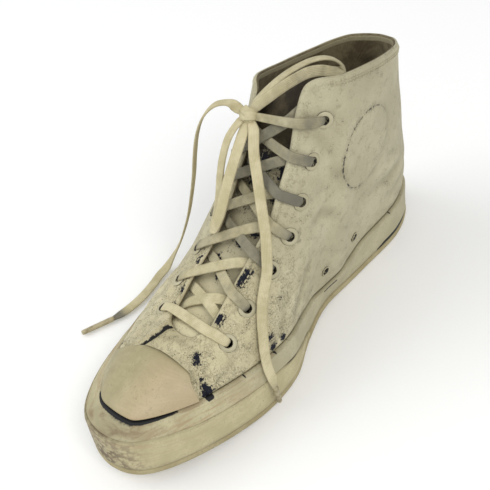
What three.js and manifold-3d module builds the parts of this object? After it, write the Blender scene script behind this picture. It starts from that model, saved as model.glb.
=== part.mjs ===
// A worn high-top canvas sneaker for the right foot, standing empty on its sole.
// Millimetres. While it is shaped, X runs from the back of the heel to the toe, +Y is the inner
// (medial) side of the foot and Z is up from the floor. The last group centres it on the floor.
import * as THREE from 'three';
import { mergeVertices } from 'three/addons/utils/BufferGeometryUtils.js';
import Module from 'manifold-3d';

const wasm = await Module();
wasm.setup();

// Driving sizes
const LENGTH = 272;
const TOE_SPRING = 13;
const SPRING_START = 0.66;
const SPRING_POWER = 1.8;
const ARCH_LIFT = 1.5;
const ARCH_FROM = 92;
const ARCH_TO = 142;
const TOE_TIP_Y = 5;
const GAP = 0.3;
const RIM_HEIGHT = 4.3;
const PLATFORM_HEIGHT = 10;
const INSOLE_THICKNESS = 3.7;
const FOXING_TOP_WIDTH = 2.6;
const FOXING_ROUND_IN = 0.7;
const FOXING_ROUND_DOWN = 0.9;
const OUTSOLE_DRAFT = 0.4;
const BUMPER_FROM = 6;
const BUMPER_SHOULDER = 1.2;
const BUMPER_TUCK = 0.6;
const BUMPER_BULGE = 0.1;
const BUMPER_DRAFT = 0.4;
const UPPER_WALL = 1.8;
const QUARTER_RAISE = 0.8;
const QUARTER_RAMP = 0.05;
const QUARTER_STEP = 0.03;
const WALL_FOOT_INSET = 3.6;
const INNER_CLEARANCE = 1.1;
const FOXING_SHARE = 0.2;
const TOE_CAP_THICKNESS = 1.6;
const TOE_CAP_REAR_X = 224.5;
const TOE_CAP_REAR_BOW = 1.5;
const TOE_CAP_BOW_WIDTH = 20;
const TOE_CAP_FOOT = 0.03;
const TOE_CAP_LEAST = 0.04;
const TOE_CAP_MARGIN = 0.2;
const TONGUE_THICKNESS = 2;
const TONGUE_Y = 3;
const LACE_WIDTH = 7;
const LACE_THICKNESS = 1.5;
const CORD_RADIUS = 1.9;
const AGLET_RADIUS = 1.6;
const EYELET_OUTER_RADIUS = 4.8;
const EYELET_BORE_RADIUS = 2.4;
const EYELET_HOLE_RADIUS = 3.1;
const VENT_OUTER_RADIUS = 3.9;
const EYELET_SEAT = 1;
const EYELET_CROWN = 0.9;
const EYELET_SIDES = 8;
const DRILL_LENGTH = 12;
const DRILL_SIDES = 10;

function table(columns, rows) {
  return rows.map((row) => Object.fromEntries(columns.map((name, i) => [name, row[i]])));
}

// Sole seen from above: a row for each cross-section, as a share of the length.
const OUTLINE = table(['along', 'medial', 'lateral'], [
  [0.012, 13.4, -12.9],
  [0.050, 25.2, -25.4],
  [0.140, 32.2, -33.9],
  [0.280, 30.8, -36.3],
  [0.420, 29.6, -39.6],
  [0.520, 35.4, -42.6],
  [0.610, 44.6, -44.8],
  [0.700, 45.8, -44.7],
  [0.790, 41.7, -40.0],
  [0.880, 34.7, -31.6],
  [0.950, 26.6, -20.5],
  [0.987, 17.8, -9.3],
]);

// Stations count once round the sole: 0 at the back of the heel, up the medial side to the toe
// tip, and back along the lateral side.
const TOE = OUTLINE.length + 1;
const STATIONS = 2 * TOE;

// Foxing: height of its top edge over the floor, how far that edge leans in, how far the face of
// the band is set in, and the height of the bumper over the ground line.
const FOXING = table(['station', 'top', 'lean', 'face', 'bumper'], [
  [0, 28, 2.5, 0.6, 8],
  [3, 26, 1.5, 0.6, 8],
  [4, 24, 0.8, 0.8, 8],
  [4.4, 22.2, -1.2, 0.9, 8],
  [4.7, 21.4, -3, 1.0, 8],
  [5.1, 21.8, -1.8, 1.0, 8],
  [5.55, 23.6, 0.4, 1.2, 8],
  [6, 25, 1.2, 1.4, 9],
  [7, 31.5, 3.3, 2.3, 20],
  [8, 36, 4.2, 2.3, 25.5],
  [9, 37.5, 5.3, 2.3, 26],
  [9.5, 38, 6, 2.3, 26],
  [11, 42, 8.8, 2.3, 29],
  [13, 44, 11.2, 2.3, 29.5],
  [15, 40.5, 7.9, 2.3, 27],
  [16.5, 34.5, 5.2, 2.3, 25.5],
  [17, 33, 4.4, 2.3, 25],
  [18, 31, 3.4, 2.3, 23],
  [19, 28.5, 2.4, 2.3, 17],
  [20, 26.5, 1.6, 1.4, 9],
  [21, 26, 1.2, 1.0, 8],
  [23, 27, 2.0, 0.6, 8],
]);

// Upper: where its wall ends at the collar, the throat's edges and the throat's base, the
// direction in which it arrives there, and how far and how flared it rises from the foxing.
const TOP_COLUMNS = ['station', 'x', 'y', 'z', 'arriveX', 'arriveY', 'arriveZ', 'rise', 'flare'];
const TOP_LINE = table(TOP_COLUMNS, [
  [0, 22, 1, 131, 4, 0, 50, 70, 0.16],
  [2, 27, 14, 135, 3, -2, 50, 70, 0.16],
  [3, 43, 25, 141, 2, -4, 50, 70, 0.18],
  [4, 74, 30, 149, 2, -4, 55, 75, 0.2],
  [4.6, 98, 28, 154, 4, -8, 50, 75, 0.06],
  [5, 110, 22.5, 156.5, 9, -20, 40, 70, 0.1],
  [5.25, 115, 18, 153, 18, -30, 22, 65, 0.17],
  [5.6, 121, 17, 141, 22, -37, 8, 60, 0.25],
  [6, 129, 18, 123, 14, -40, 16, 55, 0.25],
  [6.5, 140, 18.5, 107, 9, -38, 20, 50, 0.2],
  [7, 150, 18.5, 92, 10, -38, 22, 45, 0.1],
  [7.6, 166, 18, 80, 9, -36, 21, 40, 0],
  [8.3, 185, 17.5, 68, 4, -32, 19, 32, 0],
  [9.1, 200, 17, 58, -4, -28, 16, 24, 0],
  [9.5, 207, 13, 55, -12, -20, 10, 20, 0],
  [11, 209, 9, 54, -26, -8, 5, 16, 0],
  [13, 210, 3.5, 54, -34, 0, 4, 16, 0],
  [15, 209, -2, 53, -26, 8, 5, 16, 0],
  [16.5, 206, -7, 52, -12, 20, 10, 20, 0],
  [16.9, 199, -11, 52, -2, 28, 16, 22, 0],
  [17.7, 182, -11.5, 61.5, 4, 31, 19, 30, 0],
  [18.4, 164, -12, 71.5, 8, 33, 21, 36, 0],
  [19, 149, -12, 86, 9, 35, 22, 42, 0],
  [19.5, 136, -12.5, 101, 9, 37, 20, 48, 0.05],
  [20, 128, -12, 114, 13, 39, 15, 52, 0.1],
  [20.4, 122, -12, 128, 18, 36, 8, 56, 0.1],
  [20.75, 114, -14.5, 139.5, 16, 28, 22, 62, 0.1],
  [21, 107, -20, 141, 8, 18, 38, 66, 0.1],
  [21.4, 95, -25, 137, 3, 7, 46, 70, 0.1],
  [22, 72, -28, 130, 2, 4, 48, 70, 0.1],
  [23, 41, -24, 126, 2, 4, 48, 70, 0.14],
  [24, 26, -13, 128.5, 3, 2, 48, 70, 0.16],
]);

// Where the quarters' front edges come down over the vamp.
const QUARTER_FRONT = { medial: 9.5, lateral: 16.5 };

// Eyelets, first pair at the toe end: the station and share of the wall's height of each, and the
// station at which the throat's edge passes it.
const EYELETS = table([
  'medial', 'medialShare', 'medialEdge', 'lateral', 'lateralShare', 'lateralEdge',
], [
  [8.83, 0.69, 8.95, 17.05, 0.80, 17.0],
  [8.13, 0.765, 8.3, 17.75, 0.80, 17.7],
  [7.40, 0.78, 7.6, 18.45, 0.795, 18.35],
  [6.73, 0.77, 7.0, 19.1, 0.79, 18.95],
  [6.22, 0.785, 6.5, 19.6, 0.79, 19.45],
  [5.73, 0.785, 6.05, 20.1, 0.79, 19.9],
  [5.1, 0.815, 5.62, 20.55, 0.80, 20.35],
]);

// A strand's way from its eyelet to the throat's edge, and how high it lies over its seat.
const LACE_LIFTS = table(['edgeward', 'extra'], [
  [0.05, 2.5],
  [0.5, 2.1],
  [1, 1.2],
]);
const LACE_TUCK = { inward: 4.8, down: 0.8, share: 0.8 };
const LACE_ADVANCE = 0.2;
const VENTS = table(['station', 'share'], [
  [5.2, 0.33],
  [4.32, 0.335],
]);

// Tongue: its middle line from under the vamp to the top edge, and its half width.
const TONGUE = table(['x', 'z', 'half'], [
  [214, 49.2, 13],
  [205, 48.9, 16],
  [197.5, 50.4, 19],
  [181, 60.2, 21],
  [162, 71.7, 22],
  [146, 85.6, 22],
  [134, 100.8, 21],
  [124, 115.5, 19],
  [113, 130, 18.5],
  [101, 141, 19.5],
  [90, 145.5, 20],
]);
const TONGUE_TRIM = { medial: 0.04, lateral: 0.15 };
const TONGUE_SAG = 0.013;
const TONGUE_TILT = 0.1;

// The knot's middle and half sizes, and the routes of the hanging loop, of the loop that
// lies back over the tongue, and of the two free ends.
const KNOT = { middle: [126, -10, 133.5], half: [4.6, 6, 4.6] };
const LOOP_ROUTE = [
  [130.4, -13, 130.8], [138, -14, 126], [144, -14.5, 116], [148.5, -14, 105], [152, -13, 95.5],
  [157, -11.5, 88], [161.5, -10, 84.5], [165, -7, 87], [162, -5, 94], [156, -5.5, 102],
  [149.5, -6.5, 110], [142, -7, 119.5], [135, -8, 126.5], [131, -8.8, 129.2],
];
const UPPER_LOOP_ROUTE = [
  [123.2, -8.4, 139], [118.5, -5.9, 143.4], [113, -2.4, 148], [107, 1.3, 151.7], [101, 5, 154.1],
  [95.5, 8.3, 155.2], [91, 12.2, 155.4], [87, 15.9, 153.4], [85, 18.7, 150.2], [86.5, 20.1, 148.2],
  [91.5, 18.3, 149.8], [97.5, 15.1, 152.6], [103.5, 11.5, 153.4], [109.5, 7.9, 151.8],
  [115.5, 3.8, 148.8], [120.5, -0.6, 144.6], [123.6, -4, 141.4], [124.8, -5.4, 139.8],
];
const LATERAL_END_ROUTE = [
  [126.4, -15.8, 135.3], [128.2, -20, 138.4], [131, -25, 138], [133, -30, 134], [135, -35, 126],
  [136, -39, 115], [136.5, -42, 102], [137, -45, 86], [138, -48.5, 70], [139, -52, 56], [140, -57, 41],
  [141, -63, 26], [143, -69, 13], [147, -72.5, 4.5], [154, -73, 2.4], [163, -71, 2.4], [174, -69.5, 2.4],
  [184, -69.5, 2.4], [192, -70.5, 2.4], [198, -72.1, 2.4],
];
const LATERAL_AGLET = { from: [198.4, -72.3, 2.4], to: [216, -79.5, 2.4] };
const MEDIAL_END_ROUTE = [
  [130, -3.8, 130.6], [136, 0, 121], [143, 7, 111.5], [150.5, 14.5, 101.5], [158.3, 22.4, 91.6],
  [163.2, 26.2, 85.2], [167.8, 29.5, 78.9], [173, 31, 71], [177, 32.5, 65.6], [181.6, 35.2, 58.2],
  [185, 38, 52], [188.4, 41, 43.5], [190.8, 44.2, 36], [191.8, 47.6, 29.5], [191.6, 49, 22],
];
const MEDIAL_AGLET = { from: [191.5, 49.1, 21.6], to: [189.5, 49.3, 8] };

// Monotone cubic through one column of a table, periodic over the stations.
function column(rows, name) {
  const count = rows.length;
  const at = (i) => rows[((i % count) + count) % count].station + STATIONS * Math.floor(i / count);
  const value = (i) => rows[((i % count) + count) % count][name];
  const step = (i) => (value(i + 1) - value(i)) / (at(i + 1) - at(i));
  const slope = (i) => {
    const before = step(i - 1);
    const after = step(i);
    if (before * after <= 0) {
      return 0;
    }
    const wideBefore = at(i) - at(i - 1);
    const wideAfter = at(i + 1) - at(i);
    const a = 2 * wideAfter + wideBefore;
    const b = wideAfter + 2 * wideBefore;
    return (a + b) / (a / before + b / after);
  };
  return (station) => {
    const s = ((station % STATIONS) + STATIONS) % STATIONS;
    let i = -1;
    while (at(i + 1) <= s) {
      i += 1;
    }
    const h = at(i + 1) - at(i);
    const t = (s - at(i)) / h;
    return hermite(value(i), slope(i) * h, value(i + 1), slope(i + 1) * h, t);
  };
}

function hermite(from, leave, to, arrive, t) {
  const t2 = t * t;
  const t3 = t2 * t;
  return from * (2 * t3 - 3 * t2 + 1) + leave * (t3 - 2 * t2 + t)
    + to * (3 * t2 - 2 * t3) + arrive * (t3 - t2);
}

const lerp = THREE.MathUtils.lerp;
const clamp = THREE.MathUtils.clamp;
const vec = (x, y, z) => new THREE.Vector3(x, y, z);

const foxing = Object.fromEntries(['top', 'lean', 'face', 'bumper'].map((n) => [n, column(FOXING, n)]));
const topLine = Object.fromEntries(TOP_COLUMNS.slice(1).map((n) => [n, column(TOP_LINE, n)]));

const outlineCurve = new THREE.CatmullRomCurve3([
  vec(0, 0, 0),
  ...OUTLINE.map((row) => vec(row.along * LENGTH, row.medial, 0)),
  vec(LENGTH, TOE_TIP_Y, 0),
  ...OUTLINE.toReversed().map((row) => vec(row.along * LENGTH, row.lateral, 0)),
], true, 'catmullrom', 0.5);

function outline(station) {
  const turn = station / STATIONS;
  return outlineCurve.getPoint(turn - Math.floor(turn));
}

// Outward direction of the sole's edge, seen from above.
function outward(station) {
  const run = outline(station + 0.02).sub(outline(station - 0.02));
  return vec(-run.y, run.x, 0).normalize();
}

// Height of the sole's underside over the floor: flat heel and ball, low arch, sprung toe.
function ground(x) {
  const spring = clamp((x / LENGTH - SPRING_START) / (1 - SPRING_START), 0, 1);
  const arch = clamp((x - ARCH_FROM) / (ARCH_TO - ARCH_FROM), 0, 1);
  return TOE_SPRING * spring ** SPRING_POWER + ARCH_LIFT * Math.sin(Math.PI * arch) ** 2;
}

function groundAt(station) {
  return ground(outline(station).x);
}

// A point set in from the sole's edge at a height over the floor.
function insetPoint(station, inset, z) {
  const point = outline(station).addScaledVector(outward(station), -inset);
  return point.setZ(z);
}

// How far in the outer face of the upper's wall lies, at a height behind the foxing.
function wallInset(station, z) {
  const foot = groundAt(station) + RIM_HEIGHT + GAP;
  const share = (z - foot) / (foxing.top(station) - foot);
  return lerp(WALL_FOOT_INSET, foxing.lean(station) + FOXING_TOP_WIDTH + GAP, share);
}

// The outer face of the vamp and, without their raise, of the quarters: straight up behind the
// foxing, then one cubic from the foxing's top to the top line.
function wall(station, share) {
  const foot = insetPoint(station, WALL_FOOT_INSET, groundAt(station) + RIM_HEIGHT + GAP);
  const shoulder = insetPoint(station, foxing.lean(station) + FOXING_TOP_WIDTH + GAP, foxing.top(station));
  if (share < FOXING_SHARE) {
    return foot.lerp(shoulder, share / FOXING_SHARE);
  }
  const t = (share - FOXING_SHARE) / (1 - FOXING_SHARE);
  const leave = shoulder.clone().sub(foot).normalize();
  leave.addScaledVector(outward(station), topLine.flare(station)).normalize();
  leave.multiplyScalar(topLine.rise(station));
  return vec(
    hermite(shoulder.x, leave.x, topLine.x(station), topLine.arriveX(station), t),
    hermite(shoulder.y, leave.y, topLine.y(station), topLine.arriveY(station), t),
    hermite(shoulder.z, leave.z, topLine.z(station), topLine.arriveZ(station), t),
  );
}

function wallNormal(station, share) {
  const across = wall(station + 0.02, share).sub(wall(station - 0.02, share));
  const up = wall(station, Math.min(share + 0.002, 1)).sub(wall(station, Math.max(share - 0.002, 0)));
  return up.cross(across).normalize();
}

function wallOffset(station, share, offset) {
  return wall(station, share).addScaledVector(wallNormal(station, share), offset);
}

// A closed skin of four-sided patches. Patches that shrink to a line are left out.
class Skin {
  corners = [];

  patch(a, b, c, d) {
    this.triangle(a, b, c);
    this.triangle(a, c, d);
  }

  triangle(a, b, c) {
    const area = b.clone().sub(a).cross(c.clone().sub(a)).length();
    if (area > 1e-5) {
      this.corners.push(a, b, c);
    }
  }

  // Rows of points: a tube when each row closes on itself, a sheet otherwise.
  rows(points, closeRow, closeRows) {
    const rowCount = closeRows ? points.length : points.length - 1;
    for (let i = 0; i < rowCount; i += 1) {
      const row = points[i];
      const next = points[(i + 1) % points.length];
      const count = closeRow ? row.length : row.length - 1;
      for (let j = 0; j < count; j += 1) {
        const k = (j + 1) % row.length;
        this.patch(row[j], row[k], next[k], next[j]);
      }
    }
    return this;
  }

  fan(points, flip) {
    const middle = points.reduce((sum, p) => sum.add(p), vec(0, 0, 0)).divideScalar(points.length);
    points.forEach((point, i) => {
      const next = points[(i + 1) % points.length];
      this.triangle(middle, flip ? next : point, flip ? point : next);
    });
    return this;
  }

  // The geometry, turned so that its faces point out.
  geometry() {
    const loose = new THREE.BufferGeometry().setFromPoints(this.corners);
    const joined = mergeVertices(loose, 1e-4);
    const index = joined.getIndex();
    if (volume(joined) < 0) {
      for (let i = 0; i < index.count; i += 3) {
        const first = index.getX(i);
        index.setX(i, index.getX(i + 1));
        index.setX(i + 1, first);
      }
    }
    return joined;
  }
}

function volume(geometry) {
  const position = geometry.getAttribute('position');
  const index = geometry.getIndex();
  const corner = (i) => vec(0, 0, 0).fromBufferAttribute(position, index.getX(i));
  let total = 0;
  for (let i = 0; i < index.count; i += 3) {
    total += corner(i).dot(corner(i + 1).cross(corner(i + 2))) / 6;
  }
  return total;
}

function toSolid(geometry) {
  const bare = new THREE.BufferGeometry();
  bare.setAttribute('position', geometry.getAttribute('position').clone());
  bare.setIndex(geometry.getIndex());
  const joined = mergeVertices(bare, 1e-4);
  return new wasm.Manifold(new wasm.Mesh({
    numProp: 3,
    vertProperties: joined.getAttribute('position').array,
    triVerts: Uint32Array.from(joined.getIndex().array),
  }));
}

function toGeometry(solid) {
  const mesh = solid.getMesh();
  const geometry = new THREE.BufferGeometry();
  geometry.setAttribute('position', new THREE.BufferAttribute(Float32Array.from(mesh.vertProperties), 3));
  geometry.setIndex(new THREE.BufferAttribute(Uint32Array.from(mesh.triVerts), 1));
  return geometry;
}

function spread(from, to, count) {
  return Array.from({ length: count + 1 }, (_, i) => lerp(from, to, i / count));
}

// The inner waist, where foxing and upper lean out together: both have these stations.
const WAIST_FROM = 3.8;
const WAIST_TO = 5.9;
const WAIST = spread(4, 5.6, 8);

// Moves a geometry made about +Z to a place, with +Z along a direction.
function seat(geometry, place, direction) {
  const turn = new THREE.Quaternion().setFromUnitVectors(vec(0, 0, 1), direction);
  return geometry.applyQuaternion(turn).translate(place.x, place.y, place.z);
}

// Outsole: a rim of full width under the foxing and a platform inside it that carries the insole.
function outsoleGeometry() {
  const half = (station) => {
    const floor = groundAt(station);
    const top = floor + PLATFORM_HEIGHT;
    const side = (z) => wallInset(station, z) + UPPER_WALL + INNER_CLEARANCE;
    const inner = Math.max(side(floor + RIM_HEIGHT), side(top));
    return [
      insetPoint(station, OUTSOLE_DRAFT, floor),
      insetPoint(station, 0, floor + RIM_HEIGHT),
      insetPoint(station, inner, floor + RIM_HEIGHT),
      insetPoint(station, inner, top),
    ];
  };
  const loops = spread(0, TOE, 40).map((s) => [...half(s), ...half(STATIONS - s).reverse()]);
  return new Skin().rows(loops, true, false).geometry();
}

function insoleGeometry() {
  const half = (station) => {
    const low = groundAt(station) + PLATFORM_HEIGHT + GAP;
    const high = low + INSOLE_THICKNESS;
    const inset = wallInset(station, high) + UPPER_WALL + INNER_CLEARANCE;
    return [insetPoint(station, inset, low), insetPoint(station, inset, high)];
  };
  const loops = spread(0, TOE, 40).map((s) => [...half(s), ...half(STATIONS - s).reverse()]);
  return new Skin().rows(loops, true, false).geometry();
}

// Foxing: the rubber band round the upper, standing on the outsole's rim.
function foxingGeometry() {
  const stations = [...spread(0, WAIST_FROM, 10), ...WAIST, ...spread(WAIST_TO, STATIONS, 53).slice(0, -1)];
  const loops = stations.map((s) => {
    const foot = groundAt(s) + RIM_HEIGHT + GAP;
    const top = foxing.top(s);
    const lean = foxing.lean(s);
    const face = foxing.face(s);
    return [
      insetPoint(s, WALL_FOOT_INSET - GAP, foot),
      insetPoint(s, lean + FOXING_TOP_WIDTH, top),
      insetPoint(s, lean + FOXING_ROUND_IN, top),
      insetPoint(s, lean, top - FOXING_ROUND_DOWN),
      insetPoint(s, face, groundAt(s) + foxing.bumper(s) - BUMPER_TUCK),
      insetPoint(s, face, foot),
    ];
  });
  return new Skin().rows(loops, true, true).geometry();
}

// Bumper: a thicker strip outside the foxing, round the toe from arch to arch, thinning out.
function bumperGeometry() {
  const loops = spread(BUMPER_FROM, STATIONS - BUMPER_FROM, 36).map((s) => {
    const foot = groundAt(s) + RIM_HEIGHT + GAP;
    const top = groundAt(s) + foxing.bumper(s);
    const back = foxing.face(s) - GAP;
    return [
      insetPoint(s, back, foot),
      insetPoint(s, back, top - BUMPER_TUCK),
      insetPoint(s, back / 2, top),
      insetPoint(s, 2 * BUMPER_BULGE, top - BUMPER_SHOULDER),
      insetPoint(s, BUMPER_BULGE, (foot + top) / 2),
      insetPoint(s, BUMPER_DRAFT, foot),
    ];
  });
  const skin = new Skin().rows(loops, true, false);
  skin.fan(loops[0], true).fan(loops.at(-1), false);
  return skin.geometry();
}

// How far the wall's outer face stands out from the vamp: the quarters lie over it.
function quarterRaise(station, share) {
  const onQuarter = station < QUARTER_FRONT.medial || station > QUARTER_FRONT.lateral;
  return onQuarter ? QUARTER_RAISE * clamp((share - FOXING_SHARE) / QUARTER_RAMP, 0, 1) : 0;
}

function eyeletSeats() {
  const seats = [];
  EYELETS.forEach((row, i) => {
    ['medial', 'lateral'].forEach((side) => {
      const station = row[side];
      const share = row[`${side}Share`];
      seats.push({ name: `eyelet_${side}_${i + 1}`, station, share, radius: EYELET_OUTER_RADIUS });
    });
  });
  VENTS.forEach((row, i) => {
    const { station, share } = row;
    seats.push({ name: `vent_eyelet_${i + 1}`, station, share, radius: VENT_OUTER_RADIUS });
  });
  return seats.map((one) => ({
    ...one,
    place: wallOffset(one.station, one.share, QUARTER_RAISE),
    normal: wallNormal(one.station, one.share),
  }));
}

// Upper: vamp and quarters as one open shell with a raised step along the quarters' front edges.
function upperGeometry(seats) {
  const stations = [
    ...spread(0, WAIST_FROM, 8),
    ...WAIST,
    ...spread(WAIST_TO, QUARTER_FRONT.medial - QUARTER_STEP, 11),
    ...spread(QUARTER_FRONT.medial + QUARTER_STEP, QUARTER_FRONT.lateral - QUARTER_STEP, 16),
    ...spread(QUARTER_FRONT.lateral + QUARTER_STEP, 20.1, 11),
    ...spread(20.4, 21.4, 6),
    ...spread(21.7, STATIONS, 9).slice(0, -1),
  ];
  const shares = [0, FOXING_SHARE, 0.25, 0.36, 0.48, 0.61, 0.74, 0.87, 1];
  const outer = stations.map((s) => shares.map((v) => wallOffset(s, v, quarterRaise(s, v))));
  const inner = stations.map((s) => shares.map((v) => (v > 0
    ? wallOffset(s, v, -UPPER_WALL)
    : wall(s, v).addScaledVector(outward(s), -UPPER_WALL))));
  const loops = outer.map((row, i) => [...row, ...inner[i].toReversed()]);
  const shell = toSolid(new Skin().rows(loops, true, true).geometry());
  const holes = seats.map((one) => {
    const radius = EYELET_HOLE_RADIUS;
    const drill = new THREE.CylinderGeometry(radius, radius, DRILL_LENGTH, DRILL_SIDES);
    return toSolid(seat(drill.rotateX(Math.PI / 2), one.place, one.normal));
  });
  return toGeometry(holes.reduce((solid, hole) => solid.subtract(hole), shell));
}

// Where the toe cap ends on the vamp, found along one station.
function capShare(station) {
  let low = FOXING_SHARE;
  let high = 1;
  while (high - low > 1e-4) {
    const middle = (low + high) / 2;
    const point = wall(station, middle);
    const rear = TOE_CAP_REAR_X + TOE_CAP_REAR_BOW * Math.cos(point.y / TOE_CAP_BOW_WIDTH);
    if (point.x > rear) {
      low = middle;
    } else {
      high = middle;
    }
  }
  return low;
}

// Toe cap: a thin rubber dome over the vamp, between the foxing's top and its own rear edge.
function toeCapGeometry() {
  const { medial, lateral } = QUARTER_FRONT;
  const stations = spread(medial + TOE_CAP_MARGIN, lateral - TOE_CAP_MARGIN, 18);
  const steps = spread(0, 1, 4);
  const loops = stations.map((s) => {
    const start = FOXING_SHARE + TOE_CAP_FOOT;
    const shares = steps.map((t) => lerp(start, Math.max(capShare(s), start + TOE_CAP_LEAST), t));
    const outer = shares.map((v) => wallOffset(s, v, GAP + TOE_CAP_THICKNESS));
    const inner = shares.map((v) => wallOffset(s, v, GAP));
    return [...outer, ...inner.reverse()];
  });
  const skin = new Skin().rows(loops, true, false);
  skin.fan(loops[0], true).fan(loops.at(-1), false);
  return skin.geometry();
}

// Tongue: a bowed sheet along its middle line, its lateral corner trimmed shorter at the top.
function tongueGeometry() {
  const middle = new THREE.CatmullRomCurve3(TONGUE.map((row) => vec(row.x, TONGUE_Y, row.z)));
  const half = new THREE.CatmullRomCurve3(TONGUE.map((row) => vec(row.half, 0, 0)));
  const across = spread(-1, 1, 6);
  const sheet = (offset) => spread(0, 1, 15).map((along) => across.map((w) => {
    const trim = (w > 0 ? TONGUE_TRIM.medial : TONGUE_TRIM.lateral) * w * w;
    const t = along * (1 - trim);
    const point = middle.getPoint(t);
    const run = middle.getTangent(t);
    const normal = vec(run.z, 0, -run.x);
    const y = w * half.getPoint(t).x;
    const bow = TONGUE_TILT * y - TONGUE_SAG * y * y;
    return point.addScaledVector(normal, offset + bow).add(vec(0, y, 0));
  }));
  const front = sheet(TONGUE_THICKNESS / 2);
  const back = sheet(-TONGUE_THICKNESS / 2);
  const loops = front.map((row, i) => [...row, ...back[i].toReversed()]);
  const skin = new Skin().rows(loops, true, false);
  const cap = (f, b) => f.slice(1).forEach((p, i) => skin.patch(f[i], b[i], b[i + 1], p));
  cap(front[0], back[0]);
  cap(back.at(-1), front.at(-1));
  return skin.geometry();
}

// Eyelet: a rolled flange on the outer face and a barrel through the wall.
function eyeletGeometry(one) {
  const lift = GAP + EYELET_SEAT;
  const profile = [
    [EYELET_BORE_RADIUS, -UPPER_WALL],
    [EYELET_HOLE_RADIUS - GAP, -UPPER_WALL],
    [EYELET_HOLE_RADIUS - GAP, lift],
    [one.radius, lift],
    [(one.radius + EYELET_BORE_RADIUS) / 2, lift + EYELET_CROWN],
    [EYELET_BORE_RADIUS, lift],
  ].map(([r, z]) => new THREE.Vector2(r, z));
  const ring = new THREE.LatheGeometry([...profile, profile[0]], EYELET_SIDES).rotateX(Math.PI / 2);
  ring.deleteAttribute('normal');
  ring.deleteAttribute('uv');
  return seat(mergeVertices(ring, 1e-4), one.place, one.normal);
}

// A flat lace laid through points, with its face turned to the given up directions.
function ribbonGeometry(stops) {
  const path = new THREE.CatmullRomCurve3(stops.map((stop) => stop.point), false, 'centripetal');
  const count = 2 * (stops.length - 1);
  const section = [[-1, 0], [-0.85, 1], [0.85, 1], [1, 0], [0.85, -1], [-0.85, -1]];
  const loops = spread(0, 1, count).map((t) => {
    const span = t * (stops.length - 1);
    const i = Math.min(Math.floor(span), stops.length - 2);
    const up = stops[i].up.clone().lerp(stops[i + 1].up, span - i);
    const run = path.getTangent(t);
    const side = run.clone().cross(up).normalize();
    const lift = side.clone().cross(run).normalize();
    return section.map(([w, h]) => path.getPoint(t)
      .addScaledVector(side, w * LACE_WIDTH / 2)
      .addScaledVector(lift, h * LACE_THICKNESS / 2));
  });
  const skin = new Skin().rows(loops, true, false);
  skin.fan(loops[0], true).fan(loops.at(-1), false);
  return skin.geometry();
}

// Places along one strand of lace, on the side of the throat where it lies over the quarter:
// from just inside the eyelet to the throat's edge.
function overQuarter(side, index, edgeStation) {
  const lift = QUARTER_RAISE + GAP + LACE_THICKNESS / 2;
  return LACE_LIFTS.map(({ edgeward, extra }) => {
    const station = lerp(EYELETS[index][side], edgeStation, edgeward);
    const share = lerp(EYELETS[index][`${side}Share`], 1, edgeward);
    return { point: wallOffset(station, share, lift + extra), up: wallNormal(station, share) };
  });
}

function edgeBetween(side, from, to, share) {
  return lerp(EYELETS[from][`${side}Edge`], EYELETS[to][`${side}Edge`], share);
}

// The end of a strand that runs in under the throat's edge.
function underEdge(side, from, to, share) {
  const station = edgeBetween(side, from, to, share);
  const up = wallNormal(station, 1);
  const inward = vec(0, side === 'medial' ? -1 : 1, 0);
  const point = wallOffset(station, 1, -LACE_TUCK.down).addScaledVector(inward, LACE_TUCK.inward);
  return { point, up };
}

function crossingGeometry(k) {
  const sides = [['medial', 'lateral'], ['lateral', 'medial']];
  const strands = sides.map(([over, under]) => {
    const start = k === 0
      ? [underEdge(over, k, k + 1, 2 * LACE_ADVANCE)]
      : overQuarter(over, k, edgeBetween(over, k, k + 1, LACE_ADVANCE));
    return toSolid(ribbonGeometry([...start, underEdge(under, k, k + 1, LACE_TUCK.share)]));
  });
  return toGeometry(strands[0].add(strands[1]));
}

function barGeometry() {
  const sides = ['lateral', 'medial'].map((side) => overQuarter(side, 0, EYELETS[0][`${side}Edge`]));
  const stops = [...sides[0], ...sides[1].reverse()];
  return ribbonGeometry(stops);
}

// Knot: a lump in front of the lateral quarter, with a strand to each of the top eyelets.
function knotGeometry() {
  const middle = vec(...KNOT.middle);
  const ball = new THREE.SphereGeometry(1, 10, 7).scale(...KNOT.half).translate(...KNOT.middle);
  const last = EYELETS.length - 1;
  const strands = ['medial', 'lateral'].map((side) => {
    const stops = overQuarter(side, last, EYELETS[last][`${side}Edge`]);
    return toSolid(ribbonGeometry([...stops, { point: middle, up: stops.at(-1).up }]));
  });
  return toGeometry(strands.reduce((solid, strand) => solid.add(strand), toSolid(ball)));
}

// A free length of lace, as a plain round cord along its route.
function cordGeometry(route, steps) {
  const circle = new THREE.Shape();
  circle.absarc(0, 0, CORD_RADIUS, 0, 2 * Math.PI);
  const path = new THREE.CatmullRomCurve3(route.map((point) => vec(...point)), false, 'centripetal');
  return new THREE.ExtrudeGeometry(circle, { steps, curveSegments: 3, extrudePath: path });
}

function agletGeometry({ from, to }) {
  const start = vec(...from);
  const run = vec(...to).sub(start);
  const rod = new THREE.CylinderGeometry(AGLET_RADIUS, AGLET_RADIUS, run.length(), 8);
  const middle = start.addScaledVector(run, 0.5);
  return seat(rod.rotateX(Math.PI / 2), middle, run.normalize());
}

function part(name, geometry, color, roughness, metalness = 0) {
  const mesh = new THREE.Mesh(geometry, new THREE.MeshStandardMaterial({ color, roughness, metalness }));
  mesh.name = name;
  return mesh;
}

const CREAM_PAINT = 0xd8d2b8;
const AGED_RUBBER = 0xc9c09c;
const LACE_COTTON = 0xc8bf9f;
const EYELET_PAINT = 0xcfc8ae;
const LINING = 0x8d8468;

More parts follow.
